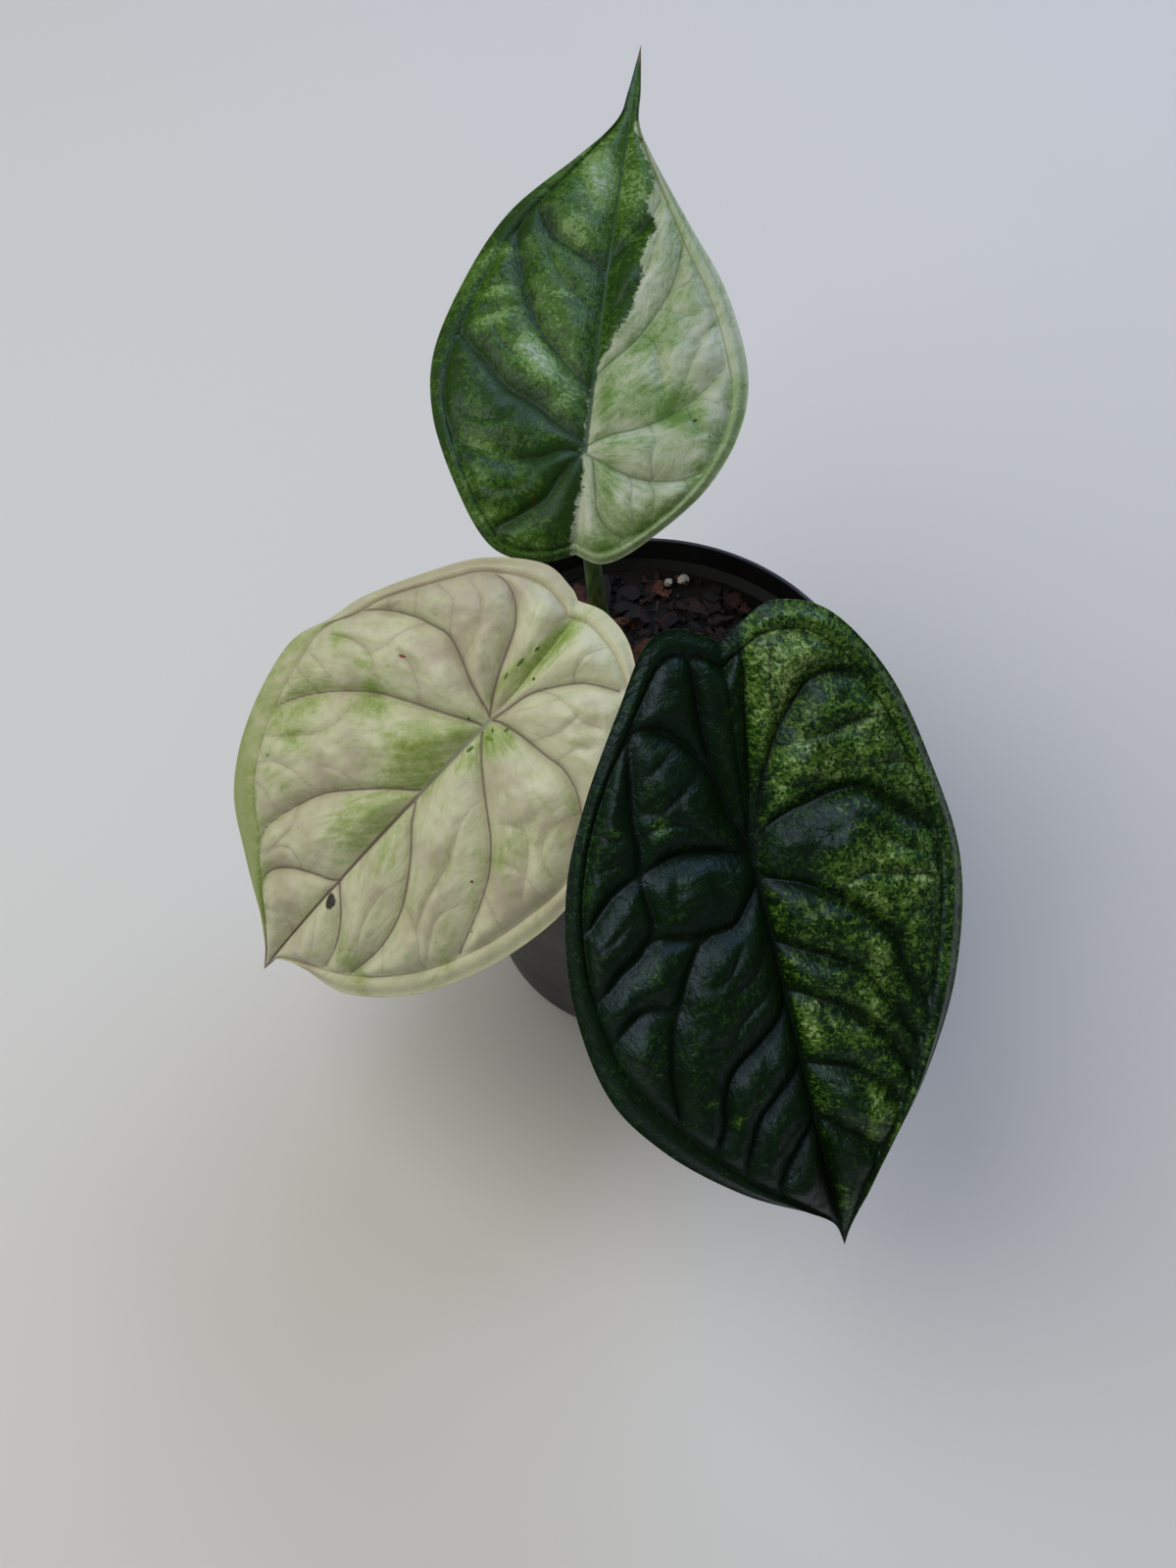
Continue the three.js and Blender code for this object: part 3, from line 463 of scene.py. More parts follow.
def addSheet(leaf, half, below):
    rows, rings = bladeLines(leaf, below)
    flat = drawnHalf(leaf, half, rows, rings)
    p, q = flat[..., 0], flat[..., 1]
    lengths = np.linalg.norm(flat[:, -1] - flat[:, 0], axis=1)[:, None]
    beyondLine = (rings[None] - bladeForm["marginLine"]) * lengths
    fromMidline = np.abs(p - midribSway(leaf, q))

    # creased at the veins, puffed up in between, with a rolled margin outside the last vein
    fromVein, fromBranch = np.full(p.shape, 9.0), np.full(p.shape, 9.0)
    sign = 1 if half == "right" else -1
    mains = [line for line in leaf["mains"] if sign * line[-1][0] >= 0]
    branches = [line for line in leaf["branches"] if sign * line[-1][0] >= 0]
    creases = np.exp(-4 * fromMidline / leaf["crease"])
    if leaf["seam"]:
        creases = creases * (1 - smoothStep(q, -1, -7))
    for gap in veinGaps(leaf["seam"], flat):
        creases = creases + np.exp(-4 * np.hypot(gap, 0.1) / leaf["crease"])
    groove = 1 - (1 - leaf["marginGroove"][half]) * smoothStep(fromMidline, 0, 8)
    creases = creases + groove * np.exp(-4 * np.abs(beyondLine) / leaf["crease"])
    for gap in veinGaps(mains, flat):
        fromVein = np.minimum(fromVein, gap)
        creases = creases + np.exp(-4 * np.hypot(gap, 0.2) / leaf["crease"])
    for gap in veinGaps(branches, flat):
        fromBranch = np.minimum(fromBranch, gap)
        dent = leaf["branchDepth"] * np.exp(-np.hypot(gap, 0.15) / leaf["branchCrease"])
        creases = creases + dent ** 4
    height = leaf["bulge"] * (1 - np.minimum(1, creases ** 0.25))
    coarse, fine = bladeForm["swellPitch"]
    swells = [noise.noise(Vector((x * coarse, y * coarse, 4.2)))
              + 0.3 * noise.noise(Vector((x * fine, y * fine, 8.1))) for x, y in flat.reshape(-1, 2)]
    height = height * (1 + bladeForm["swellShare"] * np.array(swells).reshape(p.shape))
    nearTip = np.minimum(1, rows)[:, None]
    intoMargin = (rings - bladeForm["marginLine"]) / bladeForm["marginWidth"]
    roll = np.sin(np.pi * np.clip(intoMargin, 0, 1) ** 0.8)
    atLine = leaf["bulge"] * (1 - groove ** 0.25)
    outside = (atLine + leaf["marginRoll"] * roll) * nearTip * smoothStep(rings, 1.02, 0.93)
    height = np.where(beyondLine < 0, height, outside)

    # the underside's ribs, and an edge that thins to a rounded rim
    keys = np.array(leaf["rows"], float)
    closest = np.round(rows).astype(int)
    onVein = 1 - np.minimum(1, np.abs(rows - closest) / 0.3)
    rib = bladeForm["veinRibDepth"] * (onVein * keys[closest, 5])[:, None] * (1 - rings) * nearTip
    midrib = bladeForm["midribDepth"] * (1 - smoothStep(rings, 0, 0.12)) * nearTip
    thin, edgeStart, edgeSpan = (bladeForm[key] for key in ("edgeThickness", "edgeStart", "edgeSpan"))
    thinning = thin + (1 - thin) * smoothStep(rings, 1, 0.7)
    depth = bladeForm["thickness"] * thinning + np.maximum(rib, midrib)
    depth = depth * np.sqrt(1 - np.clip((rings - edgeStart) / edgeSpan, 0, 1) ** 2)
    depth = depth * smoothStep(rows, 0, 0.25)[:, None]
    places = bentSheet(leaf, flat, height - depth * (1.0 if below else 0.0))

    bpy.ops.object.select_all(action="DESELECT")
    bpy.ops.mesh.primitive_grid_add(x_subdivisions=len(rings) - 1, y_subdivisions=len(rows) - 1, size=1)
    sheet = bpy.context.object
    mesh = sheet.data
    corners = np.empty(len(mesh.vertices) * 3)
    mesh.vertices.foreach_get("co", corners)
    corners = corners.reshape(-1, 3)
    ring = np.round((corners[:, 0] + 0.5) * (len(rings) - 1)).astype(int)
    row = np.round((corners[:, 1] + 0.5) * (len(rows) - 1)).astype(int)
    mesh.vertices.foreach_set("co", (places[row, ring] * mm).ravel())

    # what the surfaces read: the flat place, the way along the veins and how near the veins are
    acrossVeins = sign * (rows[:, None] * 6 + 4)
    vectors = {
        "flatPlace": np.stack([p, q, 0 * p], axis=2),
        "alongVeins": np.stack([rings[None] * lengths, acrossVeins + 0 * p, 0 * p], axis=2),
    }
    numbers = {
        "fromVein": fromVein,
        "fromBranch": fromBranch,
        "fromMidline": fromMidline,
        "beyondLine": beyondLine,
        "outward": rings[None] + 0 * p,
        "underside": 0 * p + (1.0 if below else 0.0),
    }
    numbers.update({name: field(p, q) for name, field in leaf["fields"].items()})
    for name, values in vectors.items():
        layer = mesh.attributes.new(name, "FLOAT_VECTOR", "POINT")
        layer.data.foreach_set("vector", values[row, ring].ravel())
    for name, values in numbers.items():
        layer = mesh.attributes.new(name, "FLOAT", "POINT")
        layer.data.foreach_set("value", values[row, ring].ravel())
    return sheet


def addLeaf(name, surface):
    leaf = leaves[name]
    sheets = [addSheet(leaf, half, below) for half in ("right", "left") for below in (False, True)]
    activate(*sheets)
    bpy.ops.object.join()
    blade = bpy.context.object
    bpy.ops.object.mode_set(mode="EDIT")
    bpy.ops.mesh.select_all(action="SELECT")
    bpy.ops.mesh.remove_doubles(threshold=0.004 * mm)
    bpy.ops.mesh.normals_make_consistent(inside=False)
    bpy.ops.object.mode_set(mode="OBJECT")
    bpy.ops.object.shade_smooth()
    blade.name = blade.data.name = "blade" + name.capitalize()
    settle(blade, leaf["slot"], "leaf_" + name, surface)
    print(blade.name, len(blade.data.polygons), "faces")


def patchField(patches, level=0.0):
    def field(p, q):
        total = level + 0 * p
        for centreP, centreQ, halfP, halfQ, turn, amount in patches:
            c, s = math.cos(math.radians(turn)), math.sin(math.radians(turn))
            u = ((p - centreP) * c + (q - centreQ) * s) / halfP
            v = ((q - centreQ) * c - (p - centreP) * s) / halfQ
            total = total + amount * np.exp(-(u * u + v * v))
        return total
    return field


def borderField(border):
    # how far to the right of a border a place is, in mm, from (q, p) pairs along the border
    def field(p, q):
        knots = np.array(sorted(border), float)
        return p - np.interp(q, knots[:, 0], knots[:, 1])
    return field


# Colour zones of the living leaves. creamZone is above 0 in cream tissue and below 0 in green tissue,
# tint washes cream tissue with green, and the marble field pales green and deepens cream tissue: real
# marbling, with painted shade on the left leaf and painted sheen on the back leaf in places.
leaves["left"]["fields"] = {
    # the margin is greenest along the blade's right, towards the tip
    "creamZone": patchField([
        (31, 61.5, 1.8, 9, 42, -5.2), (21, 68.5, 1.8, 8, 55, -5.2), (12.5, 76, 1.8, 5, 50, -5),
    ], 7),
    "tint": patchField([
        (42, 38, 6, 12, 15, .5), (36, 54, 6.5, 11, 38, .8), (26, 64, 6.5, 9, 46, 1.1),
        (15, 73, 5, 7, 46, 1), (43, 20, 4, 9, 0, .4), (6, 13, 8, 5, 60, .55), (3.5, 20, 6, 4.5, 60, .42),
        (20, 16, 5.5, 3.5, 35, .5), (22, 14, 2, 2, 0, .4), (26, 11.5, 4, 2, 20, .3),
        (30, 34, 6, 6, 0, .38), (31, 25, 4, 5, 0, .3), (34, 12, 2.5, 2, 0, .4), (23, 44, 5, 3, 30, .22),
        (3.6, 31, 4, 7, 20, .35), (6, 39, 4, 6, 20, .35), (1.2, -23, 1.8, 6, 5, .55),
        (1.4, -14, 2.0, 7, 5, .5), (3.4, -8, 1.2, 5, 10, .4), (-3, 2, 4, 3, 0, .5), (-6, -1, 3, 2, 0, .4),
        (2.2, 5.5, 2, 2, 0, .4), (-3, 8, 1.6, 3, 20, .35), (-21, 15, 3, 7, 0, .3),
        (-18, 65, 12, 3, -30, .35), (-27, 45, 3, 9, 20, .2), (-4, 36, 3, 8, 0, .22),
        (-14, 35, 3, 12, 0, .15), (-25, 4, 3, 6, 0, .15), (-10, 60, 3, 6, 20, .2),
    ], 0.04),
    # a little pinker in four places; the two wide ones on the right lobe behind the petiole are painted
    # shade, where that lobe lies in shadow
    "marble": patchField([
        (22, -18, 14, 9, -20, .2), (34, -3, 8, 9, 0, .16), (18, 58, 6, 6, 0, .08),
        (-28, 20, 6, 10, 0, .08),
    ]),
}
leaves["back"]["fields"] = {
    "creamZone": borderField([(-20.4, -.6), (-13.6, -.9), (-6.7, 0), (0, -.6), (8.6, -.6), (18, .2),
                              (20.8, 1), (26.4, 3.9), (33.8, 6.8), (41.4, 7.4), (46, 7.7), (52, 9.3),
                              (57, 7), (62, 8), (67.7, 6.2), (73.7, 3.6), (79, 2.2), (86, 4), (95, 6)]),
    "tint": patchField([
        (15.7, 12, 5, 4, 0, .55), (7, 10, 5, 4, 0, .35), (17.5, 7.5, 5, 3, 0, .45),
        (21.8, 4.8, 4, 3, 0, .4), (5.2, -6.5, 2, 6, 0, .5), (4.9, -18.5, 5, 3, 0, .5),
        (29, 11, 2, 9, 0, .5), (24.5, -2.5, 2.5, 7, -30, .45), (15, -12.5, 8, 2.5, 30, .45),
        (3, 12, 2, 8, 0, .4), (17.9, 35, 6, 5, 0, .2), (11, 25, 5, 5, 0, .25), (14, 52, 3, 8, 20, .25),
        (9, 1, 6, 2, -10, .3), (8, 22, 5, 8, 0, .2), (12, 44, 4, 6, 0, .15), (10, -14, 5, 5, 0, .15),
        (14, 26, 5, 4, 0, .15),
    ], 0.14),
    # pale silvery patches on the green half: partly real marbling, partly painted sheen where the quilts
    # catch the light; the negative ones deepen the green
    "marble": patchField([
        (-7, 49, 4, 4, 0, 0.27), (-5, 67, 4, 7, 10, 0.22), (-20.8, 33, 4, 1.6, 20, 0.23),
        (-21.4, 26.5, 5, 2, 30, 0.25), (-10, 17, 3.5, 6, 40, 0.27), (-13, 20, 3, 5, 30, 0.2),
        (-20, 43, 4, 1.6, 20, 0.18), (-4.2, 16, 1.6, 7, 10, 0.16), (-21.4, -1.5, 4, 1.2, -20, 0.25),
        (-16.5, -3, 5, 1.2, -20, 0.23), (-20.6, -8.3, 3, 1.6, 0, 0.19), (-16, -14, 5, 1.6, 10, 0.22),
        (-9, -18, 4, 1.6, 0, 0.18), (-25.8, 38.7, 2, 7, -30, 0.18), (4.5, 50, 2, 2, 0, 0.25),
        (2, 71, 5, 7, 0, 0.15), (0, 92, 4, 9, 0, 0.08), (-3, 60, 5, 6, 0, 0.22), (5, 60, 3, 5, 0, 0.2),
        (-3, -8.5, 4, 6, 0, -0.25), (-14, 8, 6, 5, 0, -0.16), (-20, 50, 4, 6, -30, -0.16),
        (-28, 15, 3, 14, 0, -0.12), (-10, 30, 6, 8, 0, 0.07), (3.5, 38, 3, 7, 0, -0.12),
        (-11, 31, 7, 16, 10, 0.07), (-6, 8.5, 3, 1.5, 30, 0.2),
    ], 0.02),
}
marbledHalf = borderField([(-46, -5.6), (-34, -5.2), (-26, -4), (-14, -2.4), 
                           (-4, -.6), (0, 0), (40, -1), (84, -3.8)])
marblePatches = patchField([
    (-14, -37, 9, 7, 0, .25), (-9, -28, 5, 8, 0, .2), (-7, -18, 3, 9, 10, .18), (-23, -15, 8, 6, 0, .16),
    (-14, -15, 4, 4, 0, .12), (-28, -23, 2.5, 3, 0, .25), (-32, -8, 2.5, 4, 0, .25),
    (-33, 3, 2.5, 3, 0, .12), (-22, 4, 7, 3, -15, .2), (-17, 9, 5, 2.5, -35, .24),
    (-29, 11, 5, 3, 0, .26), (-19, 13, 5, 2.5, -30, .12), (-18.6, 24, 2.2, 5, 0, .26),
    (-15.7, 30, 2.2, 5, 0, .22), (-3.6, 35, 1.6, 3, 0, .3), (-4.4, 29.5, 2, 2, 0, .3),
    (-11.5, 36, 4, 2.5, 0, .12), (-13.5, 50, 2.2, 5, 15, .3), (-11, 57, 2.5, 3, 0, .28),
    (-12.5, -2.2, 8, 4, 0, -.3), (-6, 4, 5, 6, 0, -.2), (-34, 8, 2, 9, 0, -.1), (-28, 35, 4, 8, 25, -.12),
    (-8, 48, 3, 6, 0, -.22), (-22, 45, 3, 8, 25, -.1), (-6, 62, 6, 8, 0, -.3),
    (17.7, -10.2, 1.8, 2.2, 0, .42), (17.6, -18.6, 1.2, 1.2, 0, .36), (26, -12, 1.6, 1, 0, .32),
    (19, 6.5, 2, 1.6, 0, .2), (27, 15, 4, 3, 0, .18), (18.8, 41.6, 1.4, 1.4, 0, .36),
    (15.3, 46.5, 1.6, 1.6, 0, .36), (31, -13, 2, 7, 10, .2), (33, -2, 2, 7, 0, .2),
    (28, 31, 6, 5, 0, .14), (22, 26, 5, 9, 0, .1), (13, 28, 4, 8, 0, .1), (10, 44, 3, 2, 0, .2),
])
leaves["right"]["fields"] = {
    "creamZone": lambda p, q: -20 + 0 * p,
    "tint": lambda p, q: 0 * p,
    # paler marbling on the half left of the border, and patches of it anywhere
    "marble": lambda p, q: (marblePatches(p, q) * 0.8
                            + smoothStep(marbledHalf(p, q), 0.6, -0.8) * 0.27 - 0.275),
}


# Live leaf tissue: a waxy skin over soft green or white cells. It has a satin sheen, is never
# quite even in colour, and its fine veins dent it. Cell sizes are in mm.
leafSkins = {
    "left": {
        "name": "creamLeafSkin",
        # creamDeep also colours the painted shade on the right lobe behind the petiole
        "creamLight": "#cfd0b0", "creamDeep": "#b7ac97", "tintColour": "#7b943c", "tintSoft": "#a9b978",
        "greenDark": "#41591f", "greenMid": "#5d7a2c", "greenLight": "#7f9748", "fleck": "#a9b67c",
        "fineCell": 0.7, "broadCell": 2.0, "islandShare": 0.16,
        "vein": "#5b4742", "veinAmount": 0.78, "veinBlend": "MIX", "midribNear": "#8d8f7d",
        "midribFar": "#65504c", "branch": "#7c6a58", "branchAmount": 0.4,
        "marginColour": "#bdbd99", "marginAmount": 0.3,
        "roughness": 0.46, "gloss": 0.45, "bloom": "#f4f7ff", "wrinkle": 0.3, "below": "#a8a583",
        # each mark: (p, q, half length, half width, turn in degrees, colour)
        "marks": [
            # the near-black first mark is painted shade standing in for a small hole through the blade
            (-.5, 56, 1.75, 1.35, 131, "#0f0b09"), (20.7, 3.4, .8, .35, 30, "#8c3a28"),
            (3.1, 2.8, .35, .35, 0, "#3c4a1c"), (-2.2, .5, .5, .35, 0, "#4a6a1e"),
            (-4.1, -1.7, .5, .4, 60, "#4f7020"), (-1.4, 6.8, 1.1, .45, 80, "#47641d"),
            (-.8, -12.6, .4, .4, 0, "#3e5518"), (29, 42, .3, .3, 0, "#3c3a26"),
            (-20.5, 24.5, .35, .35, 0, "#5b3a2c"), (27, 60, .25, .25, 0, "#45402a"),
            (-27, 33, .3, .3, 0, "#7a4634"), (3.4, -9, .9, .3, 100, "#56691f"),
            (3.2, -13, 1.2, .35, 95, "#56691f"), (2.9, -17, .7, .3, 90, "#4c5f1c"),
            (-3, 1.8, 1.4, .5, 40, "#6d8a2a"),
        ],
    },
    "back": {
        "name": "halfCreamLeafSkin",
        "creamLight": "#b9beaa", "creamDeep": "#9ba488", "tintColour": "#54792c", "tintSoft": "#93a578",
        # fleck, the silvery top of the green ramp, colours the pale patches, which are partly painted
        # sheen
        "greenDark": "#213d0b", "greenMid": "#3e6017", "greenLight": "#6c8a4c", "fleck": "#a1b19e",
        "fineCell": 0.55, "broadCell": 1.8, "islandShare": 0.17,
        "vein": "#93a183", "veinAmount": 0.8, "veinBlend": "MULTIPLY", "midribNear": "#2d4326",
        "midribFar": "#3d5637", "branch": "#a3ae92", "branchAmount": 0.6,
        "marginColour": "#8f9f78", "marginAmount": 0.3,
        "roughness": 0.42, "gloss": 0.33, "bloom": "#e4ebf8", "wrinkle": 0.45, "below": "#8c9a72",
        "marks": [
            (20.9, 6.7, .5, .4, 0, "#23331a"), (24, 3.5, .3, .3, 0, "#3a4c26"),
            (-9, -11, .5, .5, 0, "#3b2a1a"), (-16.2, 35.2, .6, .5, 0, "#1c2814"),
            (1.6, 99, 4, 1.4, 90, "#6b5a3c"),
        ],
    },
    "right": {
        "name": "darkGreenLeafSkin",
        "creamLight": "#b9c49a", "creamDeep": "#9aa780", "tintColour": "#5b8435", "tintSoft": "#97ad7c",
        "greenDark": "#0a1f04", "greenMid": "#1d3a0a", "greenLight": "#4a6a22", "fleck": "#8ea568",
        "fineCell": 0.5, "broadCell": 1.5, "islandShare": 0.34,
        "vein": "#0a1407", "veinAmount": 0.95, "veinBlend": "MIX", "midribNear": "#12220e",
        "midribFar": "#14270f", "branch": "#0d1a0a", "branchAmount": 0.75,
        "marginColour": "#1a3112", "marginAmount": 0.45,
        "roughness": 0.34, "gloss": 0.42, "bloom": "#b8c9ec", "wrinkle": 0.6, "below": "#4c5a3a",
        "marks": [],
    },
}


def leafSurface(name):
    look = leafSkins[name]
    surface, tree = newSurface(look["name"])
    place = addNode(tree, "ShaderNodeAttribute", {"attribute_name": "flatPlace", "out": "Vector"}, {})
    along = addNode(tree, "ShaderNodeAttribute", {"attribute_name": "alongVeins", "out": "Vector"}, {})
    read = {key: addNode(tree, "ShaderNodeAttribute", {"attribute_name": key, "out": "Fac"}, {})
            for key in ("fromVein", "fromBranch", "fromMidline", "beyondLine", "outward", "underside",
                        "creamZone", "tint", "marble")}
    q = addNode(tree, "ShaderNodeSeparateXYZ", {"out": "Y"}, {0: place})

    # streaks of cells run along the veins, clouds are 10 mm wide, blots 3 mm and grains under 1 mm
    streakWay = addNode(tree, "ShaderNodeVectorMath", times, {0: along, 1: (0.2, 0.75, 1)})
    streaks = addNode(tree, "ShaderNodeTexNoise", {}, {
        "Vector": streakWay, "Scale": 1.0, "Detail": 5.0, "Roughness": 0.65})
    clouds = addNode(tree, "ShaderNodeTexNoise", {}, {
        "Vector": place, "Scale": 0.09, "Detail": 3.0, "Roughness": 0.55})
    blots = addNode(tree, "ShaderNodeTexNoise", {}, {
        "Vector": place, "Scale": 0.33, "Detail": 5.0, "Roughness": 0.72})
    grains = addNode(tree, "ShaderNodeTexNoise", {}, {
        "Vector": place, "Scale": 1.5, "Detail": 4.0, "Roughness": 0.7})

    # angular islands of cells that share one tone, with slightly wandering borders
    wander = addNode(tree, "ShaderNodeTexNoise", {"out": "Color"}, {
        "Vector": place, "Scale": 0.9, "Detail": 3.0})
    warped = addNode(tree, "ShaderNodeVectorMath", timesPlus, {0: wander, 1: (1.6, 1.6, 0), 2: place})
    fine = addNode(tree, "ShaderNodeTexVoronoi", {"out": "Color"}, {
        "Vector": warped, "Scale": 1 / look["fineCell"]})
    fine = addNode(tree, "ShaderNodeSeparateXYZ", {"out": "X"}, {0: fine})
    broad = addNode(tree, "ShaderNodeTexVoronoi", {"out": "Color"}, {
        "Vector": warped, "Scale": 1 / look["broadCell"]})
    broad = addNode(tree, "ShaderNodeSeparateXYZ", {"out": "Y"}, {0: broad})
    islands = addNode(tree, "ShaderNodeMath", timesPlus, {0: broad, 1: 0.5, 2: fine})

    # cream tissue, deeper in clouds and where the marble field lays painted shade, with thin washes of
    # green where some cells kept it
    creamMix = addNode(tree, "ShaderNodeMath", plus, {0: clouds, 1: read["marble"]})
    creamMix = addNode(tree, "ShaderNodeMapRange", eased, {
        "Value": creamMix, "From Min": 0.4, "From Max": 0.74})
    cream = addNode(tree, "ShaderNodeMix", inColour, {
        0: creamMix, 6: look["creamLight"], 7: look["creamDeep"]})
    softWash = addNode(tree, "ShaderNodeMath", timesPlus, {0: streaks, 1: 1.3, 2: read["tint"]})
    softMix = addNode(tree, "ShaderNodeMapRange", eased, {
        "Value": softWash, "From Min": 0.58, "From Max": 1.15, "To Max": 0.85})
    cream = addNode(tree, "ShaderNodeMix", inColour, {0: softMix, 6: cream, 7: look["tintSoft"]})
    speckled = addNode(tree, "ShaderNodeMath", timesPlus, {0: fine, 1: 0.22, 2: softWash})
    speckled = addNode(tree, "ShaderNodeMath", timesPlus, {0: blots, 1: 0.4, 2: speckled})
    speckMix = addNode(tree, "ShaderNodeMapRange", eased, {
        "Value": speckled, "From Min": 1.08, "From Max": 1.85, "To Max": 0.9})
    cream = addNode(tree, "ShaderNodeMix", inColour, {0: speckMix, 6: cream, 7: look["tintColour"]})

    # green tissue, marbled with paler cells; on the back leaf some of the pale patches are painted sheen
    mottle = addNode(tree, "ShaderNodeMath", timesPlus, {
        0: islands, 1: look["islandShare"], 2: read["marble"]})
    mottle = addNode(tree, "ShaderNodeMath", timesPlus, {0: blots, 1: 0.36, 2: mottle})
    mottle = addNode(tree, "ShaderNodeMath", timesPlus, {0: grains, 1: 0.3, 2: mottle})
    # darker green beside the main veins: partly the real darker tissue there, partly painted shade in the
    # creases
    veinTissueAndCreaseShade = addNode(tree, "ShaderNodeMapRange", eased, {
        "Value": read["fromVein"], "From Min": 0.3, "From Max": 3.0, "To Min": -0.11, "To Max": 0.0})
    mottle = addNode(tree, "ShaderNodeMath", plus, {0: mottle, 1: veinTissueAndCreaseShade})
    greens = addNode(tree, "ShaderNodeValToRGB", {"ramp": [
        (0.44, look["greenDark"]), (0.54, look["greenMid"]), (0.62, look["greenMid"]),
        (0.7, look["greenLight"]), (0.79, look["greenLight"]), (0.93, look["fleck"])]}, {"Fac": mottle})

    # the border between the two tissues is ragged, cell by cell
    ragged = addNode(tree, "ShaderNodeMath", timesPlus, {0: blots, 1: 5.5, 2: read["creamZone"]})
    ragged = addNode(tree, "ShaderNodeMath", timesPlus, {0: islands, 1: 0.5, 2: ragged})
    zoneMix = addNode(tree, "ShaderNodeMapRange", eased, {
        "Value": ragged, "From Min": 2.8, "From Max": 3.6})
    skin = addNode(tree, "ShaderNodeMix", inColour, {0: zoneMix, 6: greens, 7: cream})

    # the smooth band outside the vein that follows the margin
    marginBand = addNode(tree, "ShaderNodeMapRange", eased, {
        "Value": read["beyondLine"], "From Min": -0.2, "From Max": 1.2, "To Max": look["marginAmount"]})
    marginBand = addNode(tree, "ShaderNodeMath", times, {0: marginBand, 1: zoneMix})
    skin = addNode(tree, "ShaderNodeMix", inColour, {0: marginBand, 6: skin, 7: look["marginColour"]})

    overVeins = {**inColour, "blend_type": look["veinBlend"]}

    # side veins are 0.5 mm wide, main veins 0.6 and the midrib 0.9, both narrowing; none is even
    inside = addNode(tree, "ShaderNodeMapRange", eased, {
        "Value": read["beyondLine"], "From Min": -1.2, "From Max": 0.2, "To Min": 1.0, "To Max": 0.0})
    uneven = addNode(tree, "ShaderNodeMapRange", {}, {
        "Value": blots, "From Min": 0.3, "From Max": 0.6, "To Min": 0.45, "To Max": 1.0})
    faint = addNode(tree, "ShaderNodeMath", times, {0: inside, 1: uneven})
    branchLine = addNode(tree, "ShaderNodeMapRange", eased, {
        "Value": read["fromBranch"], "From Min": 0.1, "From Max": 0.42, "To Min": 1.0, "To Max": 0.0})
    branchHalo = addNode(tree, "ShaderNodeMapRange", eased, {
        "Value": read["fromBranch"], "From Min": 0.0, "From Max": 1.4, "To Min": 0.3, "To Max": 0.0})
    branchMix = addNode(tree, "ShaderNodeMath", {"operation": "MAXIMUM"}, {0: branchLine, 1: branchHalo})
    branchMix = addNode(tree, "ShaderNodeMath", times, {0: branchMix, 1: faint})
    branchMix = addNode(tree, "ShaderNodeMath", times, {0: branchMix, 1: look["branchAmount"]})
    skin = addNode(tree, "ShaderNodeMix", overVeins, {0: branchMix, 6: skin, 7: look["branch"]})

    marginGap = addNode(tree, "ShaderNodeMath", {"operation": "ABSOLUTE"}, {0: read["beyondLine"]})
    marginLine = addNode(tree, "ShaderNodeMapRange", eased, {
        "Value": marginGap, "From Min": 0.08, "From Max": 0.4, "To Min": look["branchAmount"],
        "To Max": 0.0})
    skin = addNode(tree, "ShaderNodeMix", overVeins, {0: marginLine, 6: skin, 7: look["branch"]})

    veinWidth = addNode(tree, "ShaderNodeMapRange", {}, {
        "Value": read["outward"], "From Min": 0.0, "From Max": 0.85, "To Min": 0.42, "To Max": 0.3})
    veinShare = addNode(tree, "ShaderNodeMath", {"operation": "DIVIDE"}, {
        0: read["fromVein"], 1: veinWidth})
    veinLine = addNode(tree, "ShaderNodeMapRange", eased, {
        "Value": veinShare, "From Min": 0.35, "From Max": 1.15, "To Min": 1.0, "To Max": 0.0})
    veinHalo = addNode(tree, "ShaderNodeMapRange", eased, {
        "Value": read["fromVein"], "From Min": 0.0, "From Max": 1.5, "To Min": 0.3, "To Max": 0.0})
    veinBoth = addNode(tree, "ShaderNodeMath", {"operation": "MAXIMUM"}, {0: veinLine, 1: veinHalo})
    veinBoth = addNode(tree, "ShaderNodeMath", times, {0: veinBoth, 1: inside})
    veinMix = addNode(tree, "ShaderNodeMath", {"operation": "MULTIPLY", "use_clamp": True}, {
        0: veinBoth, 1: look["veinAmount"]})
    skin = addNode(tree, "ShaderNodeMix", overVeins, {0: veinMix, 6: skin, 7: look["vein"]})

    ahead = addNode(tree, "ShaderNodeMapRange", {}, {"Value": q, "From Min": -0.4, "From Max": 0.4})
    midribWidth = addNode(tree, "ShaderNodeMapRange", {}, {
        "Value": q, "From Min": 0.0, "From Max": 80.0, "To Min": 0.62, "To Max": 0.3})
    midribShare = addNode(tree, "ShaderNodeMath", {"operation": "DIVIDE"}, {
        0: read["fromMidline"], 1: midribWidth})
    midribMix = addNode(tree, "ShaderNodeMapRange", eased, {
        "Value": midribShare, "From Min": 0.4, "From Max": 1.1, "To Min": 0.85, "To Max": 0.0})
    midribMix = addNode(tree, "ShaderNodeMath", times, {0: midribMix, 1: ahead})
    towardsTip = addNode(tree, "ShaderNodeMapRange", eased, {
        "Value": q, "From Min": 8.0, "From Max": 34.0})
    midribColour = addNode(tree, "ShaderNodeMix", inColour, {
        0: towardsTip, 6: look["midribNear"], 7: look["midribFar"]})
    skin = addNode(tree, "ShaderNodeMix", inColour, {0: midribMix, 6: skin, 7: midribColour})

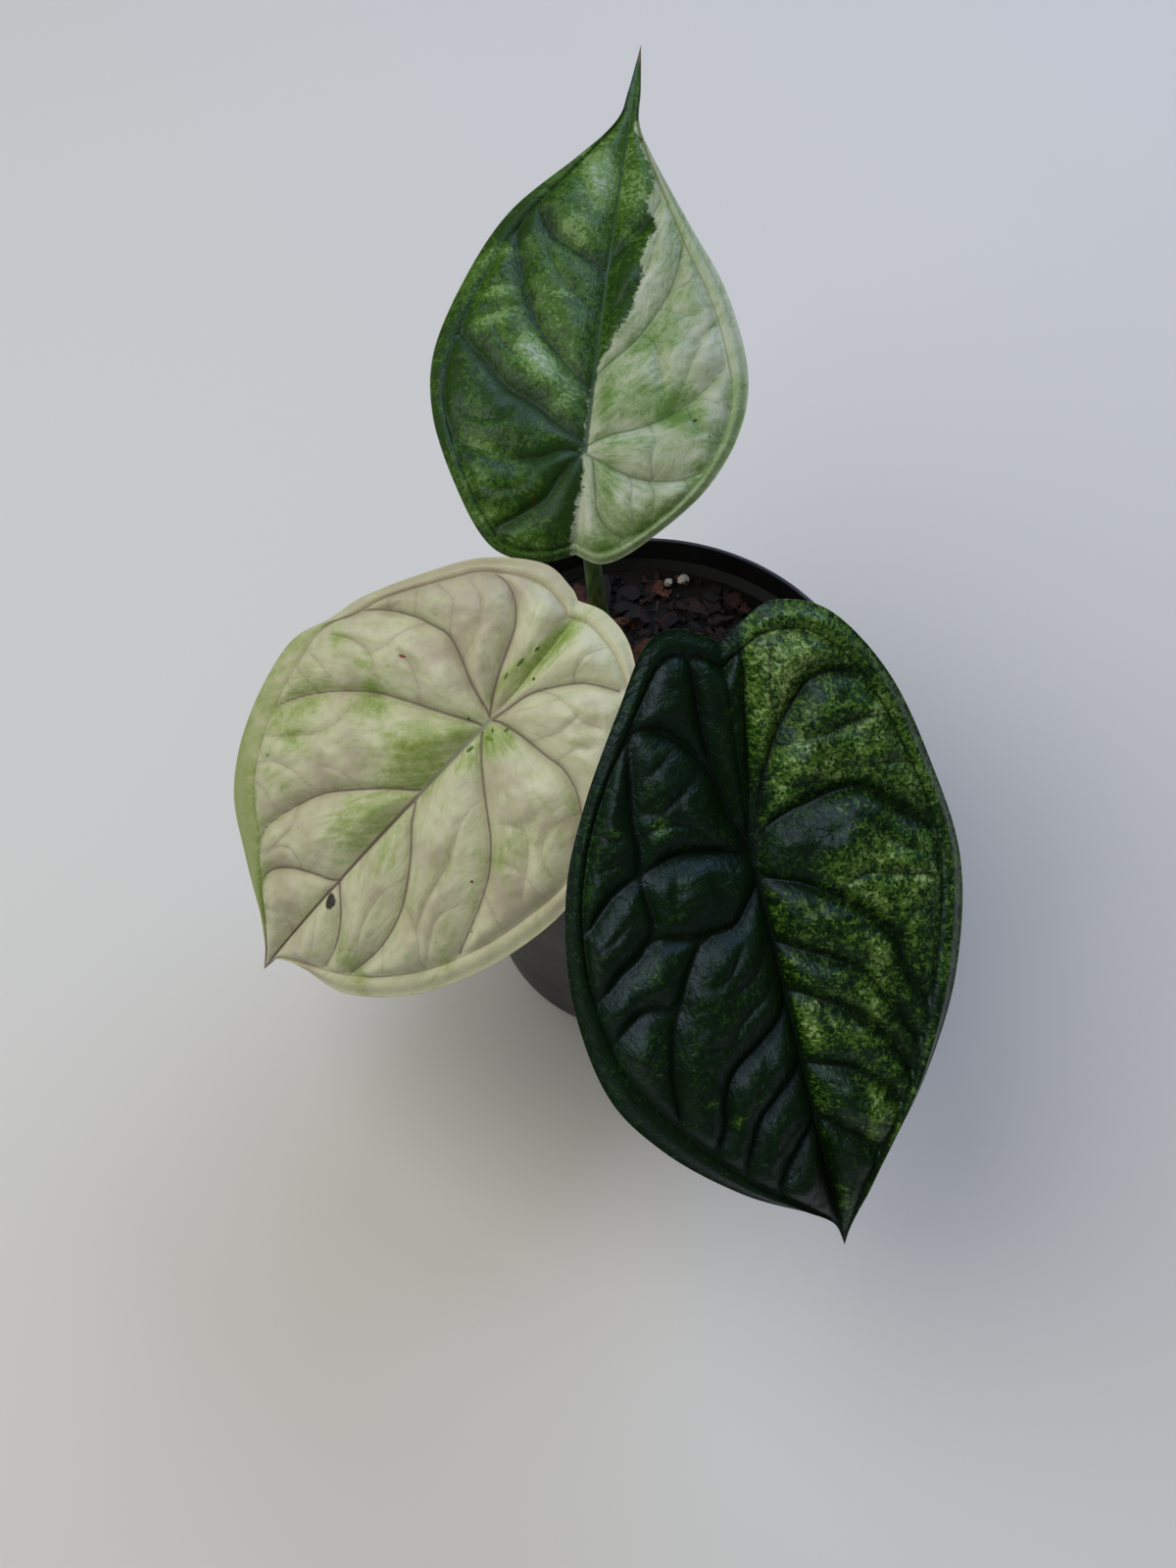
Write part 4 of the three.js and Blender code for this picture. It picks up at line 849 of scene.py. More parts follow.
    # small dead or green marks, and one near-black mark painted as the shade in a hole, each an oval at
    # its place
    for centreP, centreQ, halfLength, halfWidth, turn, colour in look["marks"]:
        away = addNode(tree, "ShaderNodeVectorMath", {"operation": "SUBTRACT"}, {
            0: place, 1: (centreP, centreQ, 0)})
        away = addNode(tree, "ShaderNodeVectorRotate", {"rotation_type": "Z_AXIS"}, {
            "Vector": away, "Angle": -math.radians(turn)})
        away = addNode(tree, "ShaderNodeVectorMath", {"operation": "DIVIDE"}, {
            0: away, 1: (halfLength, halfWidth, 1)})
        away = addNode(tree, "ShaderNodeVectorMath", {"operation": "LENGTH", "out": "Value"}, {0: away})
        away = addNode(tree, "ShaderNodeMath", timesPlus, {0: grains, 1: 0.5, 2: away})
        inMark = addNode(tree, "ShaderNodeMapRange", eased, {
            "Value": away, "From Min": 1.0, "From Max": 1.3, "To Min": 0.95, "To Max": 0.0})
        skin = addNode(tree, "ShaderNodeMix", inColour, {0: inMark, 6: skin, 7: colour})

    # the paler, duller underside
    below = addNode(tree, "ShaderNodeMath", times, {0: read["underside"], 1: 0.6})
    skin = addNode(tree, "ShaderNodeMix", inColour, {0: below, 6: skin, 7: look["below"]})

    # relief: wrinkles along the veins, the net of finest veins 2.5 mm apart, and cell grain
    net = addNode(tree, "ShaderNodeTexVoronoi", {"feature": "DISTANCE_TO_EDGE", "out": "Distance"}, {
        "Vector": warped, "Scale": 0.4, "Randomness": 0.9})
    netDent = addNode(tree, "ShaderNodeMapRange", eased, {
        "Value": net, "From Min": 0.0, "From Max": 0.16})
    wrinkleWay = addNode(tree, "ShaderNodeVectorMath", times, {0: along, 1: (0.6, 0.35, 1)})
    wrinkles = addNode(tree, "ShaderNodeTexNoise", {}, {
        "Vector": wrinkleWay, "Scale": 1.0, "Detail": 5.0, "Roughness": 0.6})
    relief = addNode(tree, "ShaderNodeMath", timesPlus, {0: netDent, 1: 0.15, 2: wrinkles})
    relief = addNode(tree, "ShaderNodeMath", timesPlus, {0: grains, 1: 0.2, 2: relief})
    bump = addNode(tree, "ShaderNodeBump", {}, {
        "Height": relief, "Strength": look["wrinkle"], "Distance": 0.0006})
    sheen = addNode(tree, "ShaderNodeMapRange", {}, {
        "Value": blots, "From Min": 0.3, "From Max": 0.7, "To Min": look["roughness"] - 0.05,
        "To Max": look["roughness"] + 0.08})
    roughness = addNode(tree, "ShaderNodeMath", timesPlus, {0: read["underside"], 1: 0.2, 2: sheen})
    leafBody = addNode(tree, "ShaderNodeBsdfPrincipled", {}, {
        "Base Color": skin, "Roughness": roughness, "Normal": bump, "IOR": 1.45,
        "Specular IOR Level": look["gloss"], "Specular Tint": look["bloom"], "Subsurface Weight": 0.08,
        "Subsurface Radius": (0.9, 1.0, 0.4), "Subsurface Scale": 0.001})
    addNode(tree, "ShaderNodeOutputMaterial", {}, {"Surface": leafBody})
    return surface


for leafName in leaves:
    addLeaf(leafName, leafSurface(leafName))
print("leaves done")


# Petioles: round, fleshy stalks, wider at the sheathed foot and just below the blade

petioleForm = {
    "crown": (-4, 7.5),
    "cormTop": 72,
    "footRing": 3.4,
    "footRadius": 2.5,
    "topRadius": 1.5,
    "seatGap": 0.3,
    "sides": 24,
    "rings": 60,
    "jointSwell": 0.35,
    "jointPlace": 0.975,  # share of the way up
    "ridges": 5,
    "ridgeDepth": 0.035,  # as a share of the radius
}


def petioleCurve(leaf):
    form = petioleForm
    angle = math.radians(leaf["petioleAngle"])
    rise = Vector(leaf["petioleRise"])
    lean = rise.angle(Vector((0, 0, 1)))
    foot = Vector((form["crown"][0] + form["footRing"] * math.cos(angle),
                   form["crown"][1] + form["footRing"] * math.sin(angle),
                   form["cormTop"] + form["seatGap"] + form["footRadius"] * math.sin(lean)))
    up = Vector(bladeFrame(leaf)[2])
    underRib = bladeForm["thickness"] + bladeForm["midribDepth"]
    head = Vector(leaf["attachment"]) - up * (underRib + form["seatGap"])
    return foot, foot + rise, head - up * leaf["petioleArrival"], head


def addPetiole(name, surface):
    form = petioleForm
    foot, afterFoot, beforeHead, head = petioleCurve(leaves[name])
    bpy.ops.object.select_all(action="DESELECT")
    bpy.ops.mesh.primitive_cylinder_add(vertices=form["sides"], radius=1, depth=1, end_fill_type="TRIFAN")
    stalk = bpy.context.object
    bpy.ops.object.mode_set(mode="EDIT")
    bpy.ops.mesh.select_mode(type="EDGE")
    bpy.ops.mesh.select_all(action="DESELECT")
    bpy.ops.object.mode_set(mode="OBJECT")
    for edge in stalk.data.edges:
        ends = [stalk.data.vertices[index].co.z for index in edge.vertices]
        edge.select = abs(ends[0] - ends[1]) > 0.5
    bpy.ops.object.mode_set(mode="EDIT")
    bpy.ops.mesh.subdivide_edgering(number_cuts=form["rings"] - 1, interpolation="LINEAR")
    bpy.ops.mesh.select_mode(type="VERT")
    bpy.ops.object.mode_set(mode="OBJECT")
    previous = Vector((1, 0, 0))
    side = {}
    for ring in range(form["rings"] + 1):
        t = ring / form["rings"]
        tangent = 3 * ((1 - t) ** 2 * (afterFoot - foot) + 2 * t * (1 - t) * (beforeHead - afterFoot)
                       + t * t * (head - beforeHead))
        centre = ((1 - t) ** 3 * foot + 3 * t * (1 - t) ** 2 * afterFoot
                  + 3 * t * t * (1 - t) * beforeHead + t ** 3 * head)
        previous = (previous - tangent.normalized() * previous.dot(tangent.normalized())).normalized()
        side[ring] = centre, previous.copy(), tangent.normalized().cross(previous)
    for vertex in stalk.data.vertices:
        x, y, z = vertex.co
        ring = round((z + 0.5) * form["rings"])
        t = ring / form["rings"]
        centre, right, front = side[ring]
        radius = form["footRadius"] + (form["topRadius"] - form["footRadius"]) * t ** 0.7
        radius += form["jointSwell"] * math.exp(-((t - form["jointPlace"]) / 0.02) ** 2)
        around = math.atan2(y, x)
        radius *= 1 + form["ridgeDepth"] * math.cos(form["ridges"] * around) * (1 - t)
        if math.hypot(x, y) < 0.5:
            radius = 0
        vertex.co = (centre + (right * math.cos(around) + front * math.sin(around)) * radius) * mm
    activate(stalk)
    bpy.ops.object.shade_smooth_by_angle(angle=math.radians(50))
    stalk.name = stalk.data.name = "stalk" + name.capitalize()
    settle(stalk, "petiole", "petiole_" + name, surface)
    print(stalk.name, len(stalk.data.polygons), "faces")


# Living petiole: smooth, waxy skin over wet cells, olive green with fine darker dashes
def petioleSurface():
    surface, tree = newSurface("petioleSkin")
    place = addNode(tree, "ShaderNodeTexCoord", {"out": "Object"}, {})
    stretched = addNode(tree, "ShaderNodeVectorMath", times, {0: place, 1: (900, 900, 140)})
    dashes = addNode(tree, "ShaderNodeTexNoise", {}, {
        "Vector": stretched, "Scale": 1.0, "Detail": 4.0, "Roughness": 0.6})
    wide = addNode(tree, "ShaderNodeTexNoise", {}, {"Vector": place, "Scale": 60.0, "Detail": 3.0})
    height = addNode(tree, "ShaderNodeSeparateXYZ", {"out": "Z"}, {0: place})
    colour = addNode(tree, "ShaderNodeValToRGB", {"ramp": [
        (0.36, "#293d14"), (0.5, "#405a20"), (0.68, "#5a7233")]}, {"Fac": dashes})
    low = addNode(tree, "ShaderNodeMapRange", eased, {
        "Value": height, "From Min": 0.074, "From Max": 0.1, "To Min": 0.55, "To Max": 0.0})
    colour = addNode(tree, "ShaderNodeMix", inColour, {0: low, 6: colour, 7: "#707a46"})
    shade = addNode(tree, "ShaderNodeMapRange", {}, {
        "Value": wide, "From Min": 0.35, "From Max": 0.65, "To Max": 0.3})
    colour = addNode(tree, "ShaderNodeMix", inColour, {0: shade, 6: colour, 7: "#2f431a"})
    bump = addNode(tree, "ShaderNodeBump", {}, {"Height": dashes, "Strength": 0.2, "Distance": 0.0004})
    body = addNode(tree, "ShaderNodeBsdfPrincipled", {}, {
        "Base Color": colour, "Roughness": 0.4, "Normal": bump, "Subsurface Weight": 0.08,
        "Subsurface Scale": 0.001, "Subsurface Radius": (0.9, 1.0, 0.4)})
    addNode(tree, "ShaderNodeOutputMaterial", {}, {"Surface": body})
    return surface


stalkSkin = petioleSurface()
for leafName in leaves:
    addPetiole(leafName, stalkSkin)
print("petioles done")


# Nursery pot

potForm = {
    "height": 88, "rimRadius": 50, "baseRadius": 36, "wall": 1.4, "floor": 1.8,
    "lipDepth": 9, "lipStep": 2.2, "sides": 128,
    "drainHoles": 8, "drainRadius": 4, "drainCircle": 24, "drainSides": 24,
    "footRound": 1.2, "rimDrop": 0.8, "rimChamfer": 0.6, "edgeRound": 0.25,
    "stepRise": 1, "innerStepFoot": 0.6, "innerStepTop": 2.4, "lipDraft": 0.2,
}


def addPot(surface):
    form = potForm
    lipFoot = form["height"] - form["lipDepth"]
    wallTop = form["rimRadius"] - form["lipStep"]
    wall, rim, base, top = form["wall"], form["rimRadius"], form["baseRadius"], form["height"]
    # the way up the outside, over the rim and down the inside
    profile = [(base - form["footRound"], 0), (base, form["footRound"]), (wallTop, lipFoot),
               (rim, lipFoot + form["stepRise"]), (rim, top - form["rimDrop"]),
               (rim - form["rimChamfer"], top), (rim - wall, top),
               (rim - wall - form["lipDraft"], lipFoot + form["innerStepTop"]),
               (wallTop - wall, lipFoot + form["innerStepFoot"]), (base - wall, form["floor"])]
    bpy.ops.object.select_all(action="DESELECT")
    radius, height = profile[0]
    bpy.ops.mesh.primitive_circle_add(vertices=form["sides"], radius=radius * mm, fill_type="NGON",
                                      location=(0, 0, height * mm))
    pot = bpy.context.object
    bpy.ops.object.transform_apply(location=True, rotation=False, scale=False)
    bpy.ops.object.mode_set(mode="EDIT")
    bpy.ops.mesh.select_all(action="SELECT")
    for nextRadius, nextHeight in profile[1:]:
        lift = (nextHeight - height) * mm
        bpy.ops.mesh.extrude_region_move(TRANSFORM_OT_translate={"value": (0, 0, lift)})
        grow = nextRadius / radius
        bpy.ops.transform.resize(value=(grow, grow, 1), center_override=(0, 0, nextHeight * mm))
        radius, height = nextRadius, nextHeight
    bpy.ops.mesh.select_all(action="SELECT")
    bpy.ops.mesh.normals_make_consistent(inside=False)
    bpy.ops.object.mode_set(mode="OBJECT")
    for hole in range(form["drainHoles"]):
        angle = (hole + 0.5) / form["drainHoles"] * 2 * math.pi
        x, y = form["drainCircle"] * math.cos(angle) * mm, form["drainCircle"] * math.sin(angle) * mm
        bpy.ops.object.select_all(action="DESELECT")
        bpy.ops.mesh.primitive_cylinder_add(
            vertices=form["drainSides"], radius=form["drainRadius"] * mm, depth=4 * form["floor"] * mm,
            location=(x, y, form["floor"] / 2 * mm))
        drill = bpy.context.object
        activate(pot)
        cut = pot.modifiers.new("drain", "BOOLEAN")
        cut.operation = "DIFFERENCE"
        cut.object = drill
        bpy.ops.object.modifier_apply(modifier="drain")
        bpy.data.objects.remove(drill)
    activate(pot)
    soften = pot.modifiers.new("soften", "BEVEL")
    soften.width = form["edgeRound"] * mm
    soften.segments = 2
    soften.limit_method = "ANGLE"
    soften.angle_limit = math.radians(25)
    bpy.ops.object.modifier_apply(modifier="soften")
    bpy.ops.object.shade_smooth_by_angle(angle=math.radians(40))
    pot.name = pot.data.name = "nurseryPot"
    settle(pot, "pot_plastic", "pot", surface)


# Black polypropylene, thermoformed: soft sheen, faint drawing lines, a little dried soil dust
def potSurface():
    surface, tree = newSurface("blackPolypropylene")
    place = addNode(tree, "ShaderNodeTexCoord", {"out": "Object"}, {})
    fine = addNode(tree, "ShaderNodeTexNoise", {}, {"Vector": place, "Scale": 900.0, "Detail": 3.0})
    bands = addNode(tree, "ShaderNodeVectorMath", times, {0: place, 1: (4, 4, 700)})
    bands = addNode(tree, "ShaderNodeTexNoise", {}, {"Vector": bands, "Scale": 1.0, "Detail": 2.0})
    dust = addNode(tree, "ShaderNodeTexNoise", {}, {
        "Vector": place, "Scale": 55.0, "Detail": 6.0, "Roughness": 0.7})
    dustMix = addNode(tree, "ShaderNodeMapRange", eased, {
        "Value": dust, "From Min": 0.52, "From Max": 0.8, "To Max": 0.5})
    colour = addNode(tree, "ShaderNodeMix", inColour, {0: dustMix, 6: "#131315", 7: "#3a342f"})
    roughness = addNode(tree, "ShaderNodeMapRange", {}, {
        "Value": dust, "From Min": 0.3, "From Max": 0.7, "To Min": 0.38, "To Max": 0.6})
    relief = addNode(tree, "ShaderNodeMath", timesPlus, {0: bands, 1: 0.6, 2: fine})
    bump = addNode(tree, "ShaderNodeBump", {}, {"Height": relief, "Strength": 0.25, "Distance": 0.0002})
    body = addNode(tree, "ShaderNodeBsdfPrincipled", {}, {
        "Base Color": colour, "Roughness": roughness, "Normal": bump, "IOR": 1.49})
    addNode(tree, "ShaderNodeOutputMaterial", {}, {"Surface": body})
    return surface


addPot(potSurface())
print("pot done")


# Potting mix: dark coir and bark fines, with bark chips, fibres and a few bits of perlite

soilForm = {
    "clearance": 0.35,
    "edgeHeight": 79.5,
    "mound": 2,
    "rings": 36,
    "sides": 144,
    "roughness": 1.1,
    "lumpPitch": (0.14, 0.35),  # coarse and fine lumps to each mm
    "bigChips": 72, "bigLength": 4, "bigSpread": 5.5,
    "smallChips": 420, "smallLength": 2, "smallSpread": 4,
    "crumbs": 900, "crumbLength": 0.7, "crumbSpread": 1.1,
    "shapes": 5,
    "chipLevel": 79, "wallClear": 0.6,  # where chips keep off the pot's wall
    "crownClear": 6.5,
    "fibres": 40, "fibreReach": 12,
    # each crumb: (x, y, half size)
    "perlite": [(5.7, 42.1, 1.2), (9.1, 42.4, 1.5), (-21, 24, 1.3), (26, -8, 1.1), (-30, -12, 1.4),
                (12, -30, 1.2)],
    "seed": 7,
}
# the vector noise that breaks up the chips starts from the clock unless it is given a seed
noise.seed_set(soilForm["seed"])


def soilTop(x, y):
    distance = math.hypot(x, y)
    base = soilForm["edgeHeight"] + soilForm["mound"] * (1 - distance / potForm["rimRadius"])
    coarse, fine = soilForm["lumpPitch"]
    lumps = noise.noise(Vector((x * coarse, y * coarse, 3.1)))
    lumps += 0.5 * noise.noise(Vector((x * fine, y * fine, 9.7)))
    return base + soilForm["roughness"] * lumps


def insideAt(height):
    lipFoot = potForm["height"] - potForm["lipDepth"]
    low = potForm["baseRadius"] - potForm["wall"]
    high = potForm["rimRadius"] - potForm["lipStep"] - potForm["wall"]
    return low + (high - low) * height / lipFoot - soilForm["clearance"]


def addSoil(surface):
    form = soilForm
    foot = potForm["floor"] + form["clearance"]
    top = form["edgeHeight"]
    bpy.ops.object.select_all(action="DESELECT")
    bpy.ops.mesh.primitive_cone_add(
        vertices=form["sides"], radius1=insideAt(foot) * mm, radius2=insideAt(top) * mm,
        depth=(top - foot) * mm, end_fill_type="NGON", location=(0, 0, (top + foot) / 2 * mm))
    soil = bpy.context.object
    bpy.ops.object.transform_apply(location=True, rotation=False, scale=False)
    bpy.ops.object.mode_set(mode="EDIT")
    bpy.ops.mesh.select_mode(type="FACE")
    bpy.ops.mesh.select_all(action="DESELECT")
    bpy.ops.object.mode_set(mode="OBJECT")
    for face in soil.data.polygons:
        face.select = face.normal.z > 0.9
    bpy.ops.object.mode_set(mode="EDIT")
    for ring in range(form["rings"]):
        bpy.ops.mesh.inset(thickness=insideAt(top) / (form["rings"] + 1) * mm, depth=0)
    bpy.ops.mesh.poke()
    bpy.ops.object.mode_set(mode="OBJECT")
    for vertex in soil.data.vertices:
        x, y, z = vertex.co / mm
        if z > top - 0.01:
            vertex.co.z = soilTop(x, y) * mm
    bpy.ops.object.shade_smooth()
    soil.name = soil.data.name = "pottingMix"
    settle(soil, "bark_soil", "soil", surface)


def scatterShapes(name, shapes, places, surface):
    # copies of a few small shapes, each moved into place, joined as one piece
    copies = []
    for shape, matrix in places:
        copy = bpy.data.objects.new(name, shapes[shape].data.copy())
        bpy.context.collection.objects.link(copy)
        copy.data.transform(matrix)
        copies.append(copy)
    activate(*copies)
    bpy.ops.object.join()
    joined = bpy.context.object
    joined.name = joined.data.name = name
    for shape in shapes:
        bpy.data.objects.remove(shape)
    settle(joined, "bark_soil", None, surface)


def addChipShape(draws, cuts):
    # one splinter of bark, 1 by 1 by 1, with broken ends
    bpy.ops.object.select_all(action="DESELECT")
    bpy.ops.mesh.primitive_cube_add(size=1)
    chip = bpy.context.object
    bpy.ops.object.mode_set(mode="EDIT")
    bpy.ops.mesh.subdivide(number_cuts=cuts)
    bpy.ops.object.mode_set(mode="OBJECT")
    offset = Vector((draws.random() * 50, draws.random() * 50, 0))
    for vertex in chip.data.vertices:
        place = vertex.co.copy()
        push = noise.noise_vector(place * 1.7 + offset) * 0.24
        push += noise.noise_vector(place * 4 + offset) * 0.07
        rounded = 1 - 0.2 * (abs(place.x * 2) ** 3 + abs(place.y * 2) ** 3) / 2
        thinned = place.z * (1 - 0.35 * abs(place.x * 2) ** 2)
        vertex.co = Vector((place.x * rounded, place.y * rounded, thinned)) + push
    bpy.ops.object.shade_smooth_by_angle(angle=math.radians(32))
    return chip


def chipPlace(draws, length, width, height, sink=0.15):
    reach = insideAt(soilForm["chipLevel"]) - length / 2 - soilForm["wallClear"]
    while True:
        angle = 2 * math.pi * draws.random()
        distance = math.sqrt(draws.random()) * reach
        x, y = distance * math.cos(angle), distance * math.sin(angle)
        awayFromCrown = math.hypot(x - petioleForm["crown"][0], y - petioleForm["crown"][1]) - length / 2
        if awayFromCrown > soilForm["crownClear"]:
            break
    turn = (Matrix.Rotation(2 * math.pi * draws.random(), 4, "Z")
            @ Matrix.Rotation(0.8 * (draws.random() - 0.5), 4, "Y")
            @ Matrix.Rotation(0.9 * (draws.random() - 0.5), 4, "X"))
    size = Matrix.Diagonal((length * mm, width * mm, height * mm, 1))
    return Matrix.Translation(Vector((x, y, soilTop(x, y) + sink * height)) * mm) @ turn @ size


def addBark(surface):
    form, draws = soilForm, random.Random(soilForm["seed"])
    kinds = form["shapes"]
    chips = [addChipShape(draws, 3) for _ in range(kinds)]
    places = []
    for _ in range(form["bigChips"]):
        length = form["bigLength"] + form["bigSpread"] * draws.random()
        kind = draws.randrange(kinds)
        width, height = 2.5 + 3 * draws.random(), 2.2 + 1.6 * draws.random()
        places.append((kind, chipPlace(draws, length, width, height)))
    scatterShapes("barkChips", chips, places, surface)
    slivers = [addChipShape(draws, 1) for _ in range(kinds)]
    places = []
    for _ in range(form["smallChips"]):
        length = form["smallLength"] + form["smallSpread"] * draws.random()
        kind = draws.randrange(kinds)
        width, height = length * (0.35 + 0.4 * draws.random()), 1 + 1.4 * draws.random()
        places.append((kind, chipPlace(draws, length, width, height, 0.3)))
    for _ in range(form["crumbs"]):
        length = form["crumbLength"] + form["crumbSpread"] * draws.random()
        kind = draws.randrange(kinds)
        width = length * (0.6 + 0.4 * draws.random())
        places.append((kind, chipPlace(draws, length, width, length * 0.7, 0.4)))
    scatterShapes("barkFines", slivers, places, surface)


def addPerlite(surface):
    # crumbs of popped volcanic glass, round but broken, on top of the chips
    draws = random.Random(soilForm["seed"] + 1)
    crumbs = [addChipShape(draws, 3) for _ in range(3)]
    places = []
    for number, (x, y, size) in enumerate(soilForm["perlite"]):
        turn = Matrix.Rotation(2.1 * number, 4, "Z") @ Matrix.Rotation(0.7 * number, 4, "X")
        around = Matrix.Diagonal((1.5 * size * mm, 1.3 * size * mm, 1.2 * size * mm, 1))
        spot = Vector((x, y, soilTop(x, y) + 1.1 * size)) * mm
        places.append((number % 3, Matrix.Translation(spot) @ turn @ around))
    scatterShapes("perliteCrumbs", crumbs, places, surface)


def addStrandShape(draws):
    # one bent coir strand in mm, 0.2 thick, along its own z
    length = 5 + 7 * draws.random()
    bend = 0.6 + 1.2 * draws.random()
    bpy.ops.object.select_all(action="DESELECT")
    bpy.ops.mesh.primitive_circle_add(vertices=5, radius=0.1, fill_type="NGON", location=(0, 0, 0))
    strand = bpy.context.object
    bpy.ops.object.mode_set(mode="EDIT")
    bpy.ops.mesh.select_all(action="SELECT")
    for _ in range(10):
        bpy.ops.mesh.extrude_region_move(TRANSFORM_OT_translate={"value": (0, 0, length / 10)})
    bpy.ops.mesh.select_all(action="SELECT")
    bpy.ops.mesh.normals_make_consistent(inside=False)
    bpy.ops.object.mode_set(mode="OBJECT")
    for vertex in strand.data.vertices:
        along = vertex.co.z / length
        vertex.co.x += bend * math.sin(3.3 * along)
        vertex.co.y += 0.4 * bend * math.sin(5.6 * along + bend)
        vertex.co.z -= length / 2
    bpy.ops.object.shade_smooth()
    return strand


def addFibres(surface):
    draws = random.Random(soilForm["seed"] + 2)
    strands = [addStrandShape(draws) for _ in range(soilForm["shapes"])]
    places = []
    for _ in range(soilForm["fibres"]):
        spot = chipPlace(draws, soilForm["fibreReach"], 1, 1, 1.2).translation / mm
        lying = (Matrix.Rotation(2 * math.pi * draws.random(), 4, "Z")
                 @ Matrix.Rotation(math.radians(84 + 12 * draws.random()), 4, "Y"))
        kind = draws.randrange(soilForm["shapes"])
        places.append((kind, Matrix.Scale(mm, 4) @ Matrix.Translation(spot) @ lying))
    scatterShapes("coirFibres", strands, places, surface)


# Perlite: white, chalky and full of pits, a little soiled
def perliteSurface():
    surface, tree = newSurface("perlite")
    place = addNode(tree, "ShaderNodeTexCoord", {"out": "Object"}, {})
    pits = addNode(tree, "ShaderNodeTexNoise", {}, {
        "Vector": place, "Scale": 1400.0, "Detail": 5.0, "Roughness": 0.7})
    colour = addNode(tree, "ShaderNodeValToRGB", {"ramp": [
        (0.35, "#8d8578"), (0.55, "#cfcac0"), (0.7, "#e2dfd8")]}, {"Fac": pits})
    bump = addNode(tree, "ShaderNodeBump", {}, {"Height": pits, "Strength": 0.8, "Distance": 0.0004})
    body = addNode(tree, "ShaderNodeBsdfPrincipled", {}, {
        "Base Color": colour, "Roughness": 0.9, "Normal": bump})
    addNode(tree, "ShaderNodeOutputMaterial", {}, {"Surface": body})
    return surface


# Coir strands: pinkish brown and dry
def fibreSurface():
    surface, tree = newSurface("coirFibre")
    place = addNode(tree, "ShaderNodeTexCoord", {"out": "Object"}, {})
    tones = addNode(tree, "ShaderNodeTexNoise", {}, {"Vector": place, "Scale": 90.0, "Detail": 4.0})
    colour = addNode(tree, "ShaderNodeValToRGB", {"ramp": [
        (0.35, "#3c281f"), (0.55, "#6d4a3b"), (0.7, "#946c58")]}, {"Fac": tones})
    body = addNode(tree, "ShaderNodeBsdfPrincipled", {}, {"Base Color": colour, "Roughness": 0.8})
    addNode(tree, "ShaderNodeOutputMaterial", {}, {"Surface": body})
    return surface


# Composted pine bark: dry, dull and corky, with orange-brown breaks and almost black old faces; the tones
# are darkened partly as painted shade for the mix lying deep in the pot under the leaves
def barkSurface():
    surface, tree = newSurface("pineBark")
    place = addNode(tree, "ShaderNodeTexCoord", {"out": "Object"}, {})
    kinds = addNode(tree, "ShaderNodeTexVoronoi", {"out": "Color"}, {"Vector": place, "Scale": 160.0})
    kind = addNode(tree, "ShaderNodeSeparateXYZ", {"out": "X"}, {0: kinds})
    colour = addNode(tree, "ShaderNodeValToRGB", {"ramp": [
        (0.0, "#0f0705"), (0.35, "#1a0d08"), (0.65, "#33190e"), (0.85, "#5c2f17"), (1.0, "#834926")]},
        {"Fac": kind})
    fine = addNode(tree, "ShaderNodeTexNoise", {}, {
        "Vector": place, "Scale": 700.0, "Detail": 6.0, "Roughness": 0.7})
    layers = addNode(tree, "ShaderNodeTexNoise", {}, {
        "Vector": place, "Scale": 260.0, "Detail": 5.0, "Roughness": 0.6})
    dark = addNode(tree, "ShaderNodeMapRange", eased, {
        "Value": layers, "From Min": 0.4, "From Max": 0.62, "To Min": 0.6, "To Max": 0.0})
    colour = addNode(tree, "ShaderNodeMix", inColour, {0: dark, 6: colour, 7: "#0f0806"})
    relief = addNode(tree, "ShaderNodeMath", timesPlus, {0: layers, 1: 1.5, 2: fine})
    bump = addNode(tree, "ShaderNodeBump", {}, {"Height": relief, "Strength": 0.7, "Distance": 0.0008})
    body = addNode(tree, "ShaderNodeBsdfPrincipled", {}, {
        "Base Color": colour, "Roughness": 0.88, "Normal": bump})
    addNode(tree, "ShaderNodeOutputMaterial", {}, {"Surface": body})
    return surface


# Damp coir and fines: matt and almost black between the chips, the dark tones partly painted shade for
# the mix lying deep in the pot under the leaves
def soilSurface():
    surface, tree = newSurface("dampCoir")
    place = addNode(tree, "ShaderNodeTexCoord", {"out": "Object"}, {})
    clods = addNode(tree, "ShaderNodeTexNoise", {}, {
        "Vector": place, "Scale": 320.0, "Detail": 8.0, "Roughness": 0.75})
    colour = addNode(tree, "ShaderNodeValToRGB", {"ramp": [
        (0.35, "#060403"), (0.55, "#0d0807"), (0.75, "#1b110b")]}, {"Fac": clods})
    bump = addNode(tree, "ShaderNodeBump", {}, {"Height": clods, "Strength": 1.0, "Distance": 0.0015})
    body = addNode(tree, "ShaderNodeBsdfPrincipled", {}, {
        "Base Color": colour, "Roughness": 0.95, "Normal": bump})
    addNode(tree, "ShaderNodeOutputMaterial", {}, {"Surface": body})
    return surface


addSoil(soilSurface())
addBark(barkSurface())
addPerlite(perliteSurface())
addFibres(fibreSurface())
print("potting mix done")


